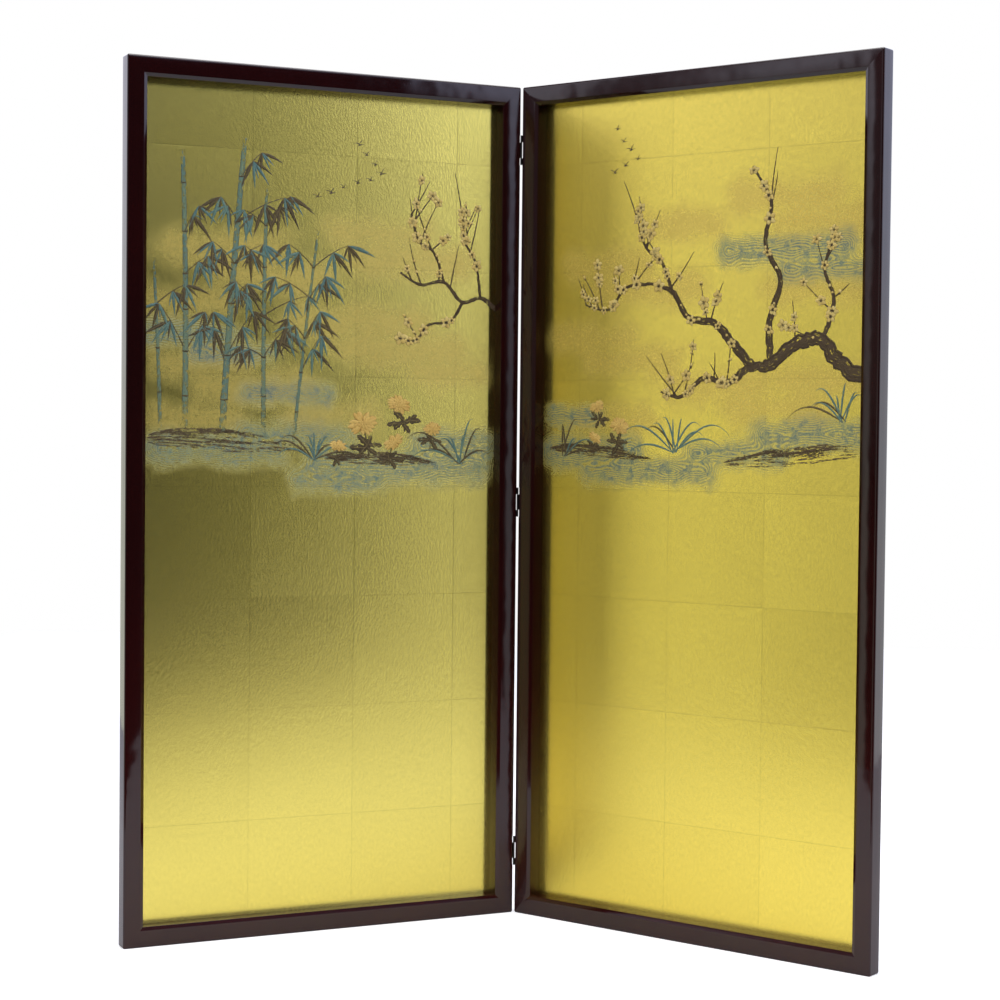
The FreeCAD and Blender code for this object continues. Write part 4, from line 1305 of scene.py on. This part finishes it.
stageSizes = {
    # the white sheet's front edge from left to right, then how far back it runs
    "frontEdge": ((-1.60, -0.67), (-0.61, -0.75), (0.0, -0.79), (0.29, -0.83), (0.53, -0.97), (0.78, -1.08),
                  (1.22, -1.13), (1.60, -1.15)),
    "floorBack": 3.2,
    "floorColour": (0.80, 0.80, 0.80, 1.0),
    "cameraLift": 0.55,  # added to what the camera sees of it, so that it meets the white background
}


def addToScene(name, data):
    holder = bpy.data.objects.new(name, data)
    bpy.context.scene.collection.objects.link(holder)
    return holder


def buildFloor():
    look = stageSizes
    front = np.array(look["frontEdge"])
    back = front[::-1] * [1.0, 0.0] + [0.0, look["floorBack"]]
    outline = np.concatenate([front, back])
    corners = np.concatenate([outline, np.zeros((len(outline), 1))], 1)
    mesh = bpy.data.meshes.new("floor")
    mesh.from_pydata(corners.tolist(), [], [list(range(len(outline)))])
    material, tree, shader = newMaterial("pale_floor")
    seen = putNode(tree, "ShaderNodeLightPath", output="Is Camera Ray")
    feed(shader, {"Base Color": look["floorColour"], "Roughness": 0.9, "Specular IOR Level": 0.2,
                  "Emission Color": (1.0, 1.0, 1.0, 1.0), "Emission Strength": seen * look["cameraLift"]})
    mesh.materials.append(material)
    addToScene("floor", mesh)


# Angles are in degrees: edges round from -Y to either side, spans above the horizon
roomLook = {
    "darkLevel": 0.02,  # the camera's side of the room
    "darkLeftLevel": 0.16,  # the same, above the horizon and left of the middle
    "frontLeftLevel": 0.47,  # a lit part of the front that only the gold shows
    "frontLeftRise": (22.0, 30.0),
    "frontLeftFall": (53.0, 57.0),
    "leftGlow": 0.85,  # the dark side's light high up, where the lamp's surroundings begin
    "rightGlow": 1.90,
    "glowSpan": (12.0, 22.0),
    "rightEdge": (55.3, 56.4),  # where the white screens to either side begin
    "leftEdge": (59.6, 61.0),
    "rightLevels": (0.79, 1.72),  # the screens' light at either end of the spans below
    "leftLevels": (0.60, 1.13),
    "rightSpan": (2.5, 10.5),
    "leftSpan": (4.0, 11.0),
    "leftFade": (61.5, 66.8),  # the left screen's light falls off from its edge to its far end
    "leftFadeShares": (1.40, 0.23),
    "rightBackEdge": (80.0, 115.0),
    "leftBackEdge": (67.3, 68.1),
    "backLevel": 1.42,
    "screenTop": (22.0, 38.0),  # where the screens fade into the ceiling
    "ceilingLevel": 0.18,
    # the hue on either side near the horizon, and the same higher up
    "leftColour": (1.00, 1.02, 0.87),
    "rightColour": (0.97, 1.0, 1.05),
    "leftSkyColour": (1.00, 1.00, 1.16),
    "rightSkyColour": (0.93, 1.0, 1.33),
    "hueSpan": (-3.0, 10.0),
    "horizon": (-1.0, 1.0),
    "hueBlend": 0.3,  # how far to either side of the middle the two hues run into each other
}


def buildRoom():
    # the world's light as a function of direction: dark towards the camera, white to the sides and behind
    look = roomLook
    world = bpy.data.worlds.new("room")
    bpy.context.scene.world = world
    world.use_nodes = True
    tree = world.node_tree
    tree.nodes.clear()

    def step(source, span, low=0.0, high=1.0):
        start, finish = (math.radians(angle) for angle in look[span])
        return remap(source, start, finish, low, high, smooth=True)

    def blend(amount, first, second):
        return amount * (second - first) + first

    direction = putNode(tree, "ShaderNodeTexCoord", output="Generated")
    x, y, z = putNode(tree, "ShaderNodeSeparateXYZ", {0: direction}, output=None).values()
    turn = maths("ARCTAN2", maths("ABSOLUTE", x), y * -1.0)
    rise = maths("ARCSINE", z)
    onRight = maths("GREATER_THAN", x, 0.0)
    dark = step(rise, "horizon", look["darkLevel"], look["darkLeftLevel"])
    dark = blend(onRight, dark, look["darkLevel"])
    frontLeft = step(turn, "frontLeftRise") * step(turn, "frontLeftFall", 1.0, 0.0) * (1.0 - onRight)
    dark = blend(frontLeft, dark, look["frontLeftLevel"])
    glow = blend(onRight, look["leftGlow"], look["rightGlow"])
    dark = blend(step(rise, "glowSpan"), dark, glow)
    leftScreen = step(rise, "leftSpan", *look["leftLevels"])
    leftScreen = leftScreen * step(turn, "leftFade", *look["leftFadeShares"])
    screen = blend(onRight, leftScreen, step(rise, "rightSpan", *look["rightLevels"]))
    beside = blend(onRight, step(turn, "leftEdge"), step(turn, "rightEdge"))
    behind = blend(onRight, step(turn, "leftBackEdge"), step(turn, "rightBackEdge"))
    level = blend(beside, dark, screen)
    level = blend(behind, level, look["backLevel"])
    level = blend(step(rise, "screenTop"), level, look["ceilingLevel"])
    aside = remap(x, -look["hueBlend"], look["hueBlend"], smooth=True)
    low = mixColour(aside, look["leftColour"], look["rightColour"])
    high = mixColour(aside, look["leftSkyColour"], look["rightSkyColour"])
    hue = mixColour(step(rise, "hueSpan"), low, high)
    room = putNode(tree, "ShaderNodeBackground", {"Color": hue, "Strength": level})
    plain = putNode(tree, "ShaderNodeBackground", {"Color": (1.0, 1.0, 1.0, 1.0), "Strength": 1.0})
    seen = putNode(tree, "ShaderNodeLightPath", output="Is Camera Ray")
    mixed = putNode(tree, "ShaderNodeMixShader", {0: seen, 1: room, 2: plain})
    feed(tree.nodes.new("ShaderNodeOutputWorld"), {"Surface": mixed})


def aimMatrix(place, forward, rightward):
    # a lamp or camera at a place, looking forward along its own -Z with rightward as its X
    turned = np.eye(4)
    turned[:3] = np.stack([rightward, np.cross(rightward, forward), -forward, place], 1)
    return Matrix(turned.tolist())


lampLook = {"size": 1.9, "power": 70.0, "place": (0.05, -0.35, 2.6), "aim": (0.0, -0.25, 0.0)}


def buildLamp():
    light = bpy.data.lights.new("overhead", "AREA")
    light.shape = "SQUARE"
    light.size = lampLook["size"]
    light.energy = lampLook["power"]
    place = np.array(lampLook["place"])
    towards = np.array(lampLook["aim"]) - place
    towards /= np.linalg.norm(towards)
    rightward = np.cross(towards, [0.0, 1.0, 0.0])
    rightward /= np.linalg.norm(rightward)
    addToScene("overhead", light).matrix_world = aimMatrix(place, towards, rightward)


cameraLook = {
    "place": (0.2350, -2.2550, 0.5318),
    "yaw": -6.145,  # degrees to the left of +Y
    "pitch": 1.815,  # degrees down
    "roll": 0.603,
    "sensor": 36.0,
    "lens": 77.7,
}


def buildCamera():
    look = cameraLook
    yaw, pitch, roll = (math.radians(look[name]) for name in ("yaw", "pitch", "roll"))
    forward = np.array([math.sin(yaw) * math.cos(pitch), math.cos(yaw) * math.cos(pitch), -math.sin(pitch)])
    level = np.array([math.cos(yaw), -math.sin(yaw), 0.0])
    rightward = level * math.cos(roll) + np.cross(level, forward) * math.sin(roll)
    camera = bpy.data.cameras.new("camera")
    camera.sensor_width = look["sensor"]
    camera.lens = look["lens"]
    holder = addToScene("camera", camera)
    holder.matrix_world = aimMatrix(np.array(look["place"]), forward, rightward)
    bpy.context.scene.camera = holder


buildFloor()
buildRoom()
buildLamp()
buildCamera()
bpy.context.scene.view_settings.view_transform = "Standard"
print("stage: room, lamp and camera")
